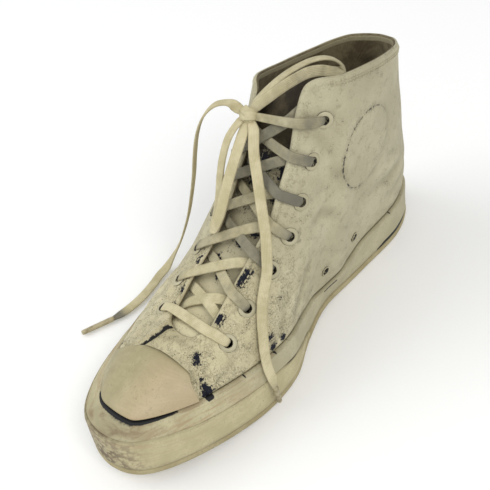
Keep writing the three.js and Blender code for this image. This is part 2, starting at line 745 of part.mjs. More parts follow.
const shoe = new THREE.Group();
const seats = eyeletSeats();
shoe.add(part('outsole', outsoleGeometry(), AGED_RUBBER, 0.75));
shoe.add(part('insole', insoleGeometry(), LINING, 0.95));
shoe.add(part('upper', upperGeometry(seats), CREAM_PAINT, 0.8));
shoe.add(part('tongue', tongueGeometry(), CREAM_PAINT, 0.85));
shoe.add(part('foxing', foxingGeometry(), AGED_RUBBER, 0.7));
shoe.add(part('toe_bumper', bumperGeometry(), AGED_RUBBER, 0.8));
shoe.add(part('toe_cap', toeCapGeometry(), AGED_RUBBER, 0.6));
seats.forEach((one) => shoe.add(part(one.name, eyeletGeometry(one), EYELET_PAINT, 0.6, 0.2)));
shoe.add(part('lace_bar', barGeometry(), LACE_COTTON, 0.95));
EYELETS.slice(1).forEach((_, k) => {
  shoe.add(part(`lace_crossing_${k + 1}`, crossingGeometry(k), LACE_COTTON, 0.95));
});

shoe.add(part('lace_knot', knotGeometry(), LACE_COTTON, 0.95));
shoe.add(part('lace_loop', cordGeometry(LOOP_ROUTE, 24), LACE_COTTON, 0.95));
shoe.add(part('lace_loop_upper', cordGeometry(UPPER_LOOP_ROUTE, 24), LACE_COTTON, 0.95));
shoe.add(part('lace_end_lateral', cordGeometry(LATERAL_END_ROUTE, 30), LACE_COTTON, 0.95));
shoe.add(part('lace_end_medial', cordGeometry(MEDIAL_END_ROUTE, 26), LACE_COTTON, 0.95));
shoe.add(part('aglet_lateral', agletGeometry(LATERAL_AGLET), LACE_COTTON, 0.4));
shoe.add(part('aglet_medial', agletGeometry(MEDIAL_AGLET), LACE_COTTON, 0.4));

const widest = spread(0, STATIONS, 520).map((s) => outline(s).y);
shoe.position.set(-LENGTH / 2, -(Math.max(...widest) + Math.min(...widest)) / 2, 0);

const sneaker = new THREE.Group();
sneaker.add(shoe);

export default sneaker;
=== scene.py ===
"""Worn high-top canvas sneaker for the right foot, empty, standing on its sole.

Shapes are worked out in millimetres, X from the back of the heel to the toe, +Y the inner side of
the foot, Z up from the floor. Each piece is then moved to the shared frame, in metres.
"""

import bmesh
import bpy
import numpy as np
from mathutils import Euler, Matrix, Vector


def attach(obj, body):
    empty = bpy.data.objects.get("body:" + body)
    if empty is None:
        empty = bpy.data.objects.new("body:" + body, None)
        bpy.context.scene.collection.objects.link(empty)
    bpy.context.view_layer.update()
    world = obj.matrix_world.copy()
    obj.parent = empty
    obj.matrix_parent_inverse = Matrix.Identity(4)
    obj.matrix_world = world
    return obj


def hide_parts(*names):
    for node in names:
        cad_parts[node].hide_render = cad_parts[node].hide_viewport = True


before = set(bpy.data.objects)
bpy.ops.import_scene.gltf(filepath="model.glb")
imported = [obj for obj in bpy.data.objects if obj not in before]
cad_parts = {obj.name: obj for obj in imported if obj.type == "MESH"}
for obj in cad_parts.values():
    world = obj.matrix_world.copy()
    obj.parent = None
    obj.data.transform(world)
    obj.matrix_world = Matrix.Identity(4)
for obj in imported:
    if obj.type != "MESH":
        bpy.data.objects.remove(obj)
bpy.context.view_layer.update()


# Camera: from above the toe on the inner side, looking down at the whole shoe. Its turn is how far it
# is raised from looking straight down, its roll, and its heading.
CAMERA_PLACE = Vector((0.23584, 0.20546, 0.36316))
CAMERA_TURN = np.radians((45.3076, 3.2734, 127.1669))
camera = bpy.data.objects.new("camera", bpy.data.cameras.new("camera"))
camera.data.sensor_width = 36
camera.data.lens = 57.4
camera.data.shift_x = -0.049
camera.matrix_world = Matrix.LocRotScale(CAMERA_PLACE, Euler(CAMERA_TURN.tolist()), None)
bpy.context.scene.collection.objects.link(camera)
bpy.context.scene.camera = camera
bpy.context.scene.view_settings.view_transform = "Standard"


# Studio: a white room with two wide soft lamps and a pale floor.
LIT_MIDDLE = Vector((0, 0, 0.06))
FLOOR_REACH = 3


def lamp(name, place, power, size, tint):
    """A square area lamp at a place, facing the middle of the shoe."""
    data = bpy.data.lights.new(name, "AREA")
    data.energy, data.size, data.color = power, size, tint
    made = bpy.data.objects.new(name, data)
    away = Vector(place) - LIT_MIDDLE
    made.matrix_world = Matrix.LocRotScale(Vector(place), away.to_track_quat("Z", "Y"), None)
    bpy.context.scene.collection.objects.link(made)


lamp("key_lamp", (0.7, 1.5, 2.1), 31.0, 1.2, (1, 0.985, 0.955))
lamp("fill_lamp", (1.1, -1.5, 1.6), 28.0, 2.0, (0.97, 0.99, 1))
world = bpy.data.worlds.new("studio")
world.use_nodes = True
world.node_tree.nodes["Background"].inputs["Color"].default_value = (0.97, 0.98, 1, 1)
world.node_tree.nodes["Background"].inputs["Strength"].default_value = 0.62
bpy.context.scene.world = world


def colour(code):
    """Linear colour of a six-digit sRGB code."""
    part = np.array([int(code[i:i + 2], 16) / 255 for i in (0, 2, 4)])
    linear = np.where(part <= 0.04045, part / 12.92, ((part + 0.055) / 1.055) ** 2.4)
    return (*linear.tolist(), 1.0)


def node(tree, kind, *values, **settings):
    """Adds a shader node; values feed its inputs in order, as constants, sockets or None to skip."""
    made = tree.nodes.new("ShaderNode" + kind)
    for key, value in settings.items():
        setattr(made, key, value)
    for socket, value in zip(made.inputs, values):
        if isinstance(value, bpy.types.NodeSocket):
            tree.links.new(value, socket)
        elif value is not None:
            socket.default_value = value
    return made


def math(tree, operation, a, b=0.0):
    """One operation on two values."""
    return node(tree, "Math", a, b, operation=operation).outputs[0]


def times(tree, a, b):
    """Product of two values."""
    return math(tree, "MULTIPLY", a, b)


def plus(tree, a, b):
    """Sum of two values."""
    return math(tree, "ADD", a, b)


def minus(tree, a, b):
    """What is left of a value when a second is taken away."""
    return math(tree, "SUBTRACT", a, b)


def mix(tree, factor, a, b):
    """Colour a going over to colour b."""
    skip = (None,) * 5
    return node(tree, "Mix", factor, *skip, a, b, data_type="RGBA").outputs[2]


def remap(tree, value, low, high, to_low=0.0, to_high=1.0):
    """A value stretched from one range to another, smoothly and within its ends."""
    made = node(tree, "MapRange", value, low, high, to_low, to_high, interpolation_type="SMOOTHSTEP")
    return made.outputs[0]


def stained(tree, base, mask, strength, code):
    """A base colour with another over it as far as a mask says, at a strength."""
    return mix(tree, times(tree, mask, strength), base, colour(code))


def two_tone(tree, value, low, high, code_a, code_b):
    """One colour where a value is low, going over to another where it is high."""
    return mix(tree, remap(tree, value, low, high), colour(code_a), colour(code_b))


def noise(tree, place, scale, detail=3.0, roughness=0.55, distortion=0.0):
    """Cloudy noise, with scale in clouds a metre."""
    made = node(tree, "TexNoise", place, None, scale, detail, roughness, None, None, None, distortion)
    return made.outputs[0]


def attribute(tree, name):
    """A piece's own float attribute."""
    return node(tree, "Attribute", attribute_name=name).outputs["Fac"]


def surface_material(name, build):
    """A material whose Principled inputs come from build(tree, object coordinates) by name."""
    made = bpy.data.materials.new(name)
    made.use_nodes = True
    tree = made.node_tree
    shader = tree.nodes["Principled BSDF"]
    place = node(tree, "TexCoord").outputs["Object"]
    for socket, value in build(tree, place).items():
        target = shader.inputs[socket]
        if isinstance(value, bpy.types.NodeSocket):
            tree.links.new(value, target)
        else:
            target.default_value = value
    return made


def bump(tree, height, strength, distance):
    """Normal of a height field; distance is its full height in metres."""
    made = node(tree, "Bump")
    made.inputs["Strength"].default_value = strength
    made.inputs["Distance"].default_value = distance
    tree.links.new(height, made.inputs["Height"])
    return made.outputs["Normal"]


def floor_look(tree, place):
    """Matt white paper."""
    return {"Base Color": (0.9, 0.9, 0.89, 1), "Roughness": 0.9}


floor_mesh = bpy.data.meshes.new("floor")
corners = [(FLOOR_REACH * x, FLOOR_REACH * y, 0) for x, y in ((-1, -1), (1, -1), (1, 1), (-1, 1))]
floor_mesh.from_pydata(corners, [], [(0, 1, 2, 3)])
floor_mesh.materials.append(surface_material("floor_paper", floor_look))
floor = bpy.data.objects.new("floor", floor_mesh)
bpy.context.scene.collection.objects.link(floor)


# Outsole: aged rubber, full width under the foxing, flat at heel and ball, hollow at the arch and
# sprung at the toe. Stations count round its edge: 0 heel, 1-12 inner side, 13 toe, 14-25 outer.
# An edge row is a share of the length, then how far out the inner and the outer edge lie there.
LENGTH = 272.0
EDGE = np.array([
    (0.012, 13.4, -12.9), (0.050, 25.2, -25.4), (0.140, 32.2, -33.9), (0.280, 30.8, -36.3),
    (0.420, 29.6, -39.6), (0.520, 35.4, -42.6), (0.610, 44.6, -44.8), (0.700, 45.8, -44.7),
    (0.790, 41.7, -40.0), (0.880, 34.7, -31.6), (0.950, 26.6, -20.5), (0.987, 17.8, -9.3),
])
EDGE_POINTS = np.concatenate([
    [(0.0, 0.0)], EDGE[:, :2] * (LENGTH, 1), [(LENGTH, 5.0)], EDGE[::-1, ::2] * (LENGTH, 1),
])
STATIONS = len(EDGE_POINTS)
RIM_HEIGHT = 4.3
PLATFORM_HEIGHT = 10.0
PLATFORM_INSET = 7.6
TOE_SPRING, SPRING_START = 13, 0.66
ARCH_HEIGHT, ARCH_START, ARCH_END = 1.5, 92, 142
GAP = 0.3
MIDDLE_Y = 0.36
TOE_STATION = 13


def outline(s):
    """Sole edge at station s: closed Catmull-Rom curve through the edge points."""
    s = np.asarray(s, float) % STATIONS
    i = np.floor(s).astype(int)
    t = (s - i)[..., None]
    a, b, c, d = (EDGE_POINTS[(i + k) % STATIONS] for k in (-1, 0, 1, 2))
    return 0.5 * (2 * b + (c - a) * t + (2 * a - 5 * b + 4 * c - d) * t**2 + (3 * b - a - 3 * c + d) * t**3)


def outward(s):
    """Level direction out of the sole's edge."""
    run = outline(np.asarray(s) + 0.02) - outline(np.asarray(s) - 0.02)
    turned = np.stack([-run[..., 1], run[..., 0], np.zeros(run.shape[:-1])], -1)
    return turned / np.linalg.norm(turned, axis=-1, keepdims=True)


def ramp(x, start, end):
    """0 before start and 1 past end, rising straight between them."""
    return np.clip((x - start) / (end - start), 0, 1)


def bell(x, width):
    """1 at zero, falling to both sides as e to the minus square of x over the width."""
    return np.exp(-(x / width) ** 2)


def ground(x):
    """Height of the underside: a power curve of toe spring and a squared sine of arch."""
    spring = ramp(x / LENGTH, SPRING_START, 1)
    arch = ramp(x, ARCH_START, ARCH_END)
    return TOE_SPRING * spring**1.8 + ARCH_HEIGHT * np.sin(np.pi * arch) ** 2


def ground_at(s):
    """Height of the underside at a station."""
    return ground(outline(s)[..., 0])


def inset(s, depth, z):
    """Point at height z, set in from the sole's edge."""
    edge = outline(s)
    z = np.broadcast_to(z, edge.shape[:-1])
    point = np.concatenate([edge, z[..., None]], -1)
    return point - outward(s) * np.broadcast_to(depth, z.shape)[..., None]


def grid(rows, columns, wrap_rows=False, wrap_columns=False):
    """Four-sided faces of a rows by columns grid of points."""
    i, j = np.meshgrid(
        np.arange(rows if wrap_rows else rows - 1),
        np.arange(columns if wrap_columns else columns - 1), indexing="ij")
    k, m = (i + 1) % rows, (j + 1) % columns
    return np.stack([i * columns + j, i * columns + m, k * columns + m, k * columns + j], -1).reshape(-1, 4)


def in_frame(points):
    """Millimetre points in the shared frame, in metres."""
    return (np.asarray(points, float) - (LENGTH / 2, MIDDLE_Y, 0)) / 1000


def piece(name, points, faces, materials, nodes=(), values=None, uv=None, kinds=None, close=True):
    """A smooth mesh piece on the root body, from points in millimetres.

    values are float attributes by name, uv a point of the plane for each point, kinds the material
    number of each face. Points that lie together are joined, and faces are turned outwards.
    """
    points = np.asarray(points, float).reshape(-1, 3)
    moved = in_frame(points)
    corner = [points[faces[:, i]] for i in range(4)]
    volume = (corner[0] * np.cross(corner[1], corner[2]) + corner[0] * np.cross(corner[2], corner[3])).sum()
    if close and volume < 0:
        faces = faces[:, ::-1]
    mesh = bpy.data.meshes.new(name)
    mesh.vertices.add(len(moved))
    mesh.vertices.foreach_set("co", moved.ravel())
    mesh.loops.add(faces.size)
    mesh.loops.foreach_set("vertex_index", faces.ravel().astype(np.int32))
    mesh.polygons.add(len(faces))
    mesh.polygons.foreach_set("loop_start", np.arange(0, faces.size, 4, dtype=np.int32))
    mesh.polygons.foreach_set("use_smooth", np.ones(len(faces), bool))
    for material in materials:
        mesh.materials.append(material)
    if kinds is not None:
        mesh.polygons.foreach_set("material_index", kinds.astype(np.int32))
    for key, value in (values or {}).items():
        layer = mesh.attributes.new(key, "FLOAT", "POINT")
        layer.data.foreach_set("value", np.ravel(value).astype(np.float32))
    if uv is not None:
        layer = mesh.uv_layers.new(name="surface")
        layer.data.foreach_set("uv", np.asarray(uv, float).reshape(-1, 2)[faces.ravel()].ravel())
    mesh.update(calc_edges=True)
    mesh.validate()
    if close:
        work = bmesh.new()
        work.from_mesh(mesh)
        bmesh.ops.remove_doubles(work, verts=work.verts, dist=1e-6)
        work.to_mesh(mesh)
        work.free()
    made = bpy.data.objects.new(name, mesh)
    bpy.context.scene.collection.objects.link(made)
    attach(made, "root")
    if nodes:
        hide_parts(*nodes)
    return made


def across(half, stations):
    """Closed section loops across the shoe: half(s) on the inner side joined to half(-s) on the outer."""
    return np.concatenate([half(stations), half(STATIONS - stations)[:, ::-1]], 1)


def effect_group(name, inputs, outputs):
    """An empty shader node group: kinds of its inputs by name, and names of the values it puts out."""
    tree = bpy.data.node_groups.new(name, "ShaderNodeTree")
    for key, kind in inputs.items():
        tree.interface.new_socket(key, in_out="INPUT", socket_type="NodeSocket" + kind)
    for key in outputs:
        tree.interface.new_socket(key, in_out="OUTPUT", socket_type="NodeSocketFloat")
    return tree, tree.nodes.new("NodeGroupInput").outputs, tree.nodes.new("NodeGroupOutput").inputs


def rubber_group():
    """Shared wear of old rubber: clouds of yellowing, pinkish scuffs that run along the strip, specks of
    dirt and fine scratches. Along is the piece's own map: how far along the strip and how far up it."""
    outputs = ("Yellowing", "Scuff", "Dirt", "Height")
    tree, given, gives = effect_group("aged_rubber", {"Along": "Vector"}, outputs)
    place = node(tree, "TexCoord").outputs["Object"]
    clouds = noise(tree, place, 60, 5, 0.65)
    drawn_out = node(tree, "VectorMath", given["Along"], (0.05, 0.75, 0), operation="MULTIPLY").outputs[0]
    streaks = noise(tree, drawn_out, 1.0, 5, 0.65, 0.4)
    specks = noise(tree, place, 900, 4, 0.7)
    pits = noise(tree, place, 1300, 4, 0.65)
    tree.links.new(remap(tree, clouds, 0.36, 0.66), gives["Yellowing"])
    tree.links.new(remap(tree, streaks, 0.42, 0.66), gives["Scuff"])
    dirt = times(tree, remap(tree, specks, 0.52, 0.72), remap(tree, clouds, 0.36, 0.62))
    tree.links.new(dirt, gives["Dirt"])
    height = plus(tree, times(tree, streaks, 0.6), times(tree, pits, 0.4))
    tree.links.new(height, gives["Height"])
    return tree


AGED_RUBBER = rubber_group()


def rubber_wear(tree):
    """Outputs of the shared rubber wear, laid along a piece by its own map."""
    along = node(tree, "UVMap", uv_map="surface").outputs[0]
    return node(tree, "Group", along, node_tree=AGED_RUBBER).outputs


def outsole_look(tree, place):
    """Brownish gum rubber with ground-in dirt and a pebbled tread underneath."""
    wear = rubber_wear(tree)
    base = mix(tree, wear["Yellowing"], colour("9a8e69"), colour("aba07c"))
    base = stained(tree, base, wear["Dirt"], 0.7, "6b6049")
    tread = node(tree, "TexVoronoi", place, None, 260.0)
    height = plus(tree, times(tree, tread.outputs["Distance"], 0.6), wear["Height"])
    return {"Base Color": base, "Roughness": 0.82, "Normal": bump(tree, height, 0.35, 0.0006)}


def outsole_half(s):
    """One side of the outsole's section: rounded foot, side, rim and the platform inside it."""
    floor_z = ground_at(s)
    profile = (
        (6, 0), (1.2, 0), (0.5, 0.25), (0.15, 0.9), (0, 2.4), (0.05, 3.6), (0.3, 4.1), (0.9, RIM_HEIGHT),
        (PLATFORM_INSET, RIM_HEIGHT), (PLATFORM_INSET, PLATFORM_HEIGHT),
    )
    return np.stack([inset(s, depth, floor_z + z) for depth, z in profile], 1)


loops = across(outsole_half, np.linspace(0, TOE_STATION, 180))
piece("outsole_sheet", loops, grid(*loops.shape[:2], wrap_columns=True),
      [surface_material("outsole_rubber", outsole_look)], ["outsole"], uv=loops[..., [0, 2]])


# Insole: a worn cloth-covered sheet cut to the sole's outline. It is laid on the outsole inside the
# upper, and is dished and stained by the foot.
def insole_look(tree, place):
    """Flattened cloth, brown and stained, with a fine weave."""
    weave = node(tree, "TexWave", place, 1100.0, 2.0, 2.0, wave_type="BANDS").outputs["Fac"]
    stain = noise(tree, place, 55, 5, 0.65)
    base = two_tone(tree, stain, 0.35, 0.7, "6e6349", "473d2c")
    return {"Base Color": base, "Roughness": 0.95, "Normal": bump(tree, weave, 0.3, 0.0003)}


def insole_half(s):
    """One side of the insole's section, a little dished towards the middle."""
    low = ground_at(s) + PLATFORM_HEIGHT + GAP
    profile = ((8.5, 0), (8.5, 3.2), (9.3, 3.7), (14, 3.2))
    return np.stack([inset(s, depth, low + z) for depth, z in profile], 1)


loops = across(insole_half, np.linspace(0, TOE_STATION, 140))
piece("insole_sheet", loops, grid(*loops.shape[:2], wrap_columns=True),
      [surface_material("insole_cloth", insole_look)], ["insole"])


# Upper: vamp and two quarters of canvas as one open shell, brush-painted cream, with the quarters'
# front edges lying over the vamp. The paint is cracked where the foot bends and flaked to navy
# cloth round the throat, and the inside is a bare olive-brown lining.

# Foxing rows: station, height of its top, how far in the top leans, how far in its face is set low
# down, and how high the bumper strip reaches over the ground.
FOXING = np.array([
    (0, 28, 2.5, 0.6, 8), (3, 26, 1.5, 0.6, 8), (4, 24, 0.8, 0.8, 8), (4.4, 22.2, -1.2, 0.9, 8),
    (4.7, 21.4, -3, 1.0, 8), (5.1, 21.8, -1.8, 1.0, 8), (5.55, 23.6, 0.4, 1.2, 8), (6, 25, 1.2, 1.4, 9),
    (7, 31.5, 3.3, 2.3, 20), (8, 36, 4.2, 2.3, 25.5), (9, 37.5, 5.3, 2.3, 26), (9.5, 38, 6, 2.3, 26),
    (11, 42, 8.8, 2.3, 29), (13, 44, 11.2, 2.3, 29.5), (15, 40.5, 7.9, 2.3, 27),
    (16.5, 34.5, 5.2, 2.3, 25.5), (17, 33, 4.4, 2.3, 25), (18, 31, 3.4, 2.3, 23), (19, 28.5, 2.4, 2.3, 17),
    (20, 26.5, 1.6, 1.4, 9), (21, 26, 1.2, 1.0, 8), (23, 27, 2.0, 0.6, 8),
])
BAND_TOP, BAND_LEAN, BAND_SET_IN, STRIP_TOP = 1, 2, 3, 4
# Top line rows: station, the line's point, the wall's slope as it arrives there, how strongly the wall
# leaves the foxing, and how far outwards it then turns.
TOP_LINE = np.array([
    (0, 22, 1, 131, 4, 0, 50, 70, 0.16), (2, 27, 14, 135, 3, -2, 50, 70, 0.16),
    (3, 43, 25, 141, 2, -4, 50, 70, 0.18), (4, 74, 30, 149, 2, -4, 55, 75, 0.2),
    (4.6, 98, 28, 154, 4, -8, 50, 75, 0.06), (5, 110, 22.5, 156.5, 9, -20, 40, 70, 0.1),
    (5.25, 115, 18, 153, 18, -30, 22, 65, 0.17), (5.6, 121, 17, 141, 22, -37, 8, 60, 0.25),
    (6, 129, 18, 123, 14, -40, 16, 55, 0.25), (6.5, 140, 18.5, 107, 9, -38, 20, 50, 0.2),
    (7, 150, 18.5, 92, 10, -38, 22, 45, 0.1), (7.6, 166, 18, 80, 9, -36, 21, 40, 0),
    (8.3, 185, 17.5, 68, 4, -32, 19, 32, 0), (9.1, 200, 17, 58, -4, -28, 16, 24, 0),
    (9.5, 207, 13, 55, -12, -20, 10, 20, 0), (11, 209, 9, 54, -26, -8, 5, 16, 0),
    (13, 210, 3.5, 54, -34, 0, 4, 16, 0), (15, 209, -2, 53, -26, 8, 5, 16, 0),
    (16.5, 206, -7, 52, -12, 20, 10, 20, 0), (16.9, 199, -11, 52, -2, 28, 16, 22, 0),
    (17.7, 182, -11.5, 61.5, 4, 31, 19, 30, 0), (18.4, 164, -12, 71.5, 8, 33, 21, 36, 0),
    (19, 149, -12, 86, 9, 35, 22, 42, 0), (19.5, 136, -12.5, 101, 9, 37, 20, 48, 0.05),
    (20, 128, -12, 114, 13, 39, 15, 52, 0.1), (20.4, 122, -12, 128, 18, 36, 8, 56, 0.1),
    (20.75, 114, -14.5, 139.5, 16, 28, 22, 62, 0.1), (21, 107, -20, 141, 8, 18, 38, 66, 0.1),
    (21.4, 95, -25, 137, 3, 7, 46, 70, 0.1), (22, 72, -28, 130, 2, 4, 48, 70, 0.1),
    (23, 41, -24, 126, 2, 4, 48, 70, 0.14), (24, 26, -13, 128.5, 3, 2, 48, 70, 0.16),
])
LINE_POINT, LINE_SLOPE, LEAVE_STRENGTH, LEAVE_OUTWARDS = (1, 2, 3), (4, 5, 6), 7, 8
FOXING_SHARE = 0.2
FOXING_TOP_WIDTH = 2.6
WALL_FOOT_INSET = 3.6
WALL = 1.8
QUARTER_RAISE = 0.8
# Eyelet rows, from the toe up: station and share on the inner side, then on the outer side.
EYELETS = np.array([
    (8.83, 0.69, 17.05, 0.80), (8.13, 0.765, 17.75, 0.80), (7.40, 0.78, 18.45, 0.795),
    (6.73, 0.77, 19.1, 0.79), (6.22, 0.785, 19.6, 0.79), (5.73, 0.785, 20.1, 0.79),
    (5.1, 0.815, 20.55, 0.80),
])
VENTS = np.array([(5.2, 0.33), (4.32, 0.335)])
HOLE_RADIUS = 2.7
# The quarters' front edges: their stations in the mesh, then share of the height and true station.
MEDIAL_STEP, LATERAL_STEP = 9.5, 16.5
MEDIAL_FRONT = np.array([(0.2, 9.38), (0.39, 9.46), (0.49, 9.54), (0.7, 9.63), (0.8, 9.66), (1, 9.5)])
LATERAL_FRONT = np.array([(0.2, 16.5), (0.3, 16.42), (0.47, 16.05), (0.66, 15.7), (0.8, 15.62), (1, 15.9)])


def hermite(start, leave, end, arrive, t):
    """Cubic from start to end with the given end slopes."""
    return (start * (2 * t**3 - 3 * t**2 + 1) + leave * (t**3 - 2 * t**2 + t)
            + end * (3 * t**2 - 2 * t**3) + arrive * (t**3 - t**2))


def column(rows, index, s):
    """Periodic monotone cubic through one column of a station table."""
    at = np.concatenate([rows[-2:, 0] - STATIONS, rows[:, 0], rows[:3, 0] + STATIONS])
    value = np.concatenate([rows[-2:, index], rows[:, index], rows[:3, index]])
    wide = np.diff(at)
    step = np.diff(value) / wide
    a, b = 2 * wide[1:] + wide[:-1], wide[1:] + 2 * wide[:-1]
    rising = step[:-1] * step[1:] > 0
    before, after = np.where(rising, step[:-1], 1), np.where(rising, step[1:], 1)
    slope = np.where(rising, (a + b) / (a / before + b / after), 0)
    s = np.asarray(s, float) % STATIONS
    i = np.searchsorted(at, s, side="right") - 1
    h = wide[i]
    return hermite(value[i], slope[i - 1] * h, value[i + 1], slope[i] * h, (s - at[i]) / h)


def unit(vector):
    """Vectors brought to length one."""
    return vector / np.maximum(np.linalg.norm(vector, axis=-1, keepdims=True), 1e-9)


def wall(s, v):
    """Outer face of the vamp at station s and share v of its height: straight behind the foxing up to
    share 0.2, then one cubic from the foxing's top to the top line."""
    s, v = np.broadcast_arrays(np.asarray(s, float), np.asarray(v, float))
    foot = inset(s, WALL_FOOT_INSET, ground_at(s) + RIM_HEIGHT + GAP)
    shoulder = inset(s, column(FOXING, BAND_LEAN, s) + FOXING_TOP_WIDTH + GAP, column(FOXING, BAND_TOP, s))
    low = foot + (shoulder - foot) * (v / FOXING_SHARE)[..., None]
    top = np.stack([column(TOP_LINE, i, s) for i in LINE_POINT], -1)
    arrive = np.stack([column(TOP_LINE, i, s) for i in LINE_SLOPE], -1)
    leave = unit(unit(shoulder - foot) + outward(s) * column(TOP_LINE, LEAVE_OUTWARDS, s)[..., None])
    leave = leave * column(TOP_LINE, LEAVE_STRENGTH, s)[..., None]
    t = ramp(v, FOXING_SHARE, 1)[..., None]
    return np.where(v[..., None] < FOXING_SHARE, low, hermite(shoulder, leave, top, arrive, t))


def wall_normal(s, v):
    """Outward normal of the wall, from differences along both directions."""
    s, v = np.broadcast_arrays(np.asarray(s, float), np.asarray(v, float))
    around = wall(s + 0.02, v) - wall(s - 0.02, v)
    up = wall(s, np.minimum(v + 0.002, 1)) - wall(s, np.maximum(v - 0.002, 0))
    return unit(np.cross(up, around))


def on_wall(s, v, offset):
    """Point at a distance off the wall."""
    s, v, offset = np.broadcast_arrays(*(np.asarray(a, float) for a in (s, v, offset)))
    return wall(s, v) + wall_normal(s, v) * offset[..., None]


def near_path(points, path):
    """Distance of points from a polyline, and how far along it, 0 to 1, its nearest place is."""
    a, b = path[:-1], path[1:]
    run = b - a
    t = np.clip(((points[:, None] - a) * run).sum(-1) / (run * run).sum(-1), 0, 1)
    gap = np.linalg.norm(points[:, None] - a - run * t[..., None], axis=-1)
    best = gap.argmin(1)
    pick = np.arange(len(points))
    return gap[pick, best], (best + t[pick, best]) / len(a)


def travelled(path):
    """Length along a polyline at each of its points, from zero."""
    return np.concatenate([[0], np.cumsum(np.linalg.norm(np.diff(path, axis=0), axis=1))])


def resampled(path, count):
    """A polyline with evenly spread points."""
    path = np.asarray(path, float)
    far = travelled(path)
    at = np.linspace(0, far[-1], count)
    return np.stack([np.interp(at, far, path[:, i]) for i in range(path.shape[1])], 1)


def crease(points, route, width, depth):
    """A soft trough along a route of stations and shares, with a low ridge on either side, fading out
    at both ends."""
    path = wall(*np.array(route, float).T)
    gap, along = near_path(points, resampled(path, 24))
    trough = bell(gap, width)
    ridge = bell(gap - 2.1 * width, width)
    fade = np.sin(np.pi * np.clip(along, 0.02, 0.98)) ** 0.6
    return depth * (0.5 * ridge - trough) * fade


def spots(points, middles, rows):
    """Strongest of soft round spots at each point: a spot's strength times a bell of its radius. Rows
    end in radius and strength."""
    gap = np.linalg.norm(points[:, None] - middles, axis=-1)
    return (rows[:, 3] * bell(gap, rows[:, 2])).max(1)


def paint_group():
    """Shared old brush paint on canvas: a pebbled skin with broken hairline cracks and pinholes, and
    flakes where the cloth shows. Crack and Flake say how far gone the paint is at a place."""
    outputs = ("Cracks", "Flakes", "Clouds", "Grain", "Height")
    tree, given, gives = effect_group("cracked_paint", {"Crack": "Float", "Flake": "Float"}, outputs)
    crack, flake = given["Crack"], given["Flake"]
    place = node(tree, "TexCoord").outputs["Object"]
    warp = node(tree, "TexNoise", place, None, 420.0, 4.0, 0.6).outputs["Color"]
    shift = node(tree, "VectorMath", warp, (0.0032, 0.0032, 0.0032), operation="MULTIPLY").outputs[0]
    bent = node(tree, "VectorMath", place, shift, operation="ADD").outputs[0]
    net = node(tree, "TexVoronoi", bent, None, 420.0, feature="DISTANCE_TO_EDGE").outputs["Distance"]
    patchy = noise(tree, place, 210, 4, 0.65)
    flecks = noise(tree, bent, 850, 5, 0.7)
    pieces = remap(tree, noise(tree, place, 620, 3, 0.6), 0.46, 0.58)
    reach = plus(tree, times(tree, crack, 0.8), minus(tree, patchy, 0.72))
    lines = times(tree, remap(tree, net, 0.012, 0.045, 0.75, 0), remap(tree, reach, 0.0, 0.3))
    lines = times(tree, lines, pieces)
    level = minus(tree, 0.78, times(tree, crack, 0.25))
    chips = remap(tree, minus(tree, flecks, level), 0.0, 0.03)
    cells = node(tree, "TexVoronoi", place, None, 300.0).outputs["Distance"]
    few = remap(tree, plus(tree, patchy, times(tree, crack, 0.25)), 0.62, 0.7)
    pinholes = times(tree, remap(tree, cells, 0.07, 0.13, 0.9, 0), few)
    dusty = remap(tree, plus(tree, patchy, times(tree, crack, 0.6)), 0.6, 0.84)
    dots = times(tree, remap(tree, noise(tree, place, 1000, 2, 0.5), 0.62, 0.69, 0, 0.8), dusty)
    marks = math(tree, "MAXIMUM", math(tree, "MAXIMUM", lines, chips), math(tree, "MAXIMUM", pinholes, dots))
    tree.links.new(marks, gives["Cracks"])
    torn = plus(tree, flake, times(tree, minus(tree, flecks, 0.5), 1.9))
    torn = plus(tree, torn, times(tree, minus(tree, patchy, 0.5), 1.1))
    flakes = remap(tree, torn, 0.52, 0.6)
    tree.links.new(flakes, gives["Flakes"])
    tree.links.new(noise(tree, place, 28, 4, 0.6), gives["Clouds"])
    crackle = node(tree, "TexVoronoi", bent, None, 820.0, feature="DISTANCE_TO_EDGE").outputs["Distance"]
    crackle = remap(tree, crackle, 0.02, 0.2)
    clumps = remap(tree, plus(tree, patchy, times(tree, crack, 0.3)), 0.48, 0.82, 0.2, 1)
    furrows = times(tree, minus(tree, 1.0, crackle), clumps)
    grain = plus(tree, times(tree, furrows, 0.6), noise(tree, place, 1150, 4, 0.65))
    tree.links.new(grain, gives["Grain"])
    skin = minus(tree, 1.0, grain)
    lost = plus(tree, times(tree, math(tree, "MAXIMUM", lines, chips), 0.5), flakes)
    tree.links.new(minus(tree, skin, lost), gives["Height"])
    return tree


CRACKED_PAINT = paint_group()


def paint_wear(tree):
    """Outputs of the shared cracked paint, as far gone as a piece's own attributes say."""
    crack, flake = attribute(tree, "crack"), attribute(tree, "flake")
    return node(tree, "Group", crack, flake, node_tree=CRACKED_PAINT).outputs


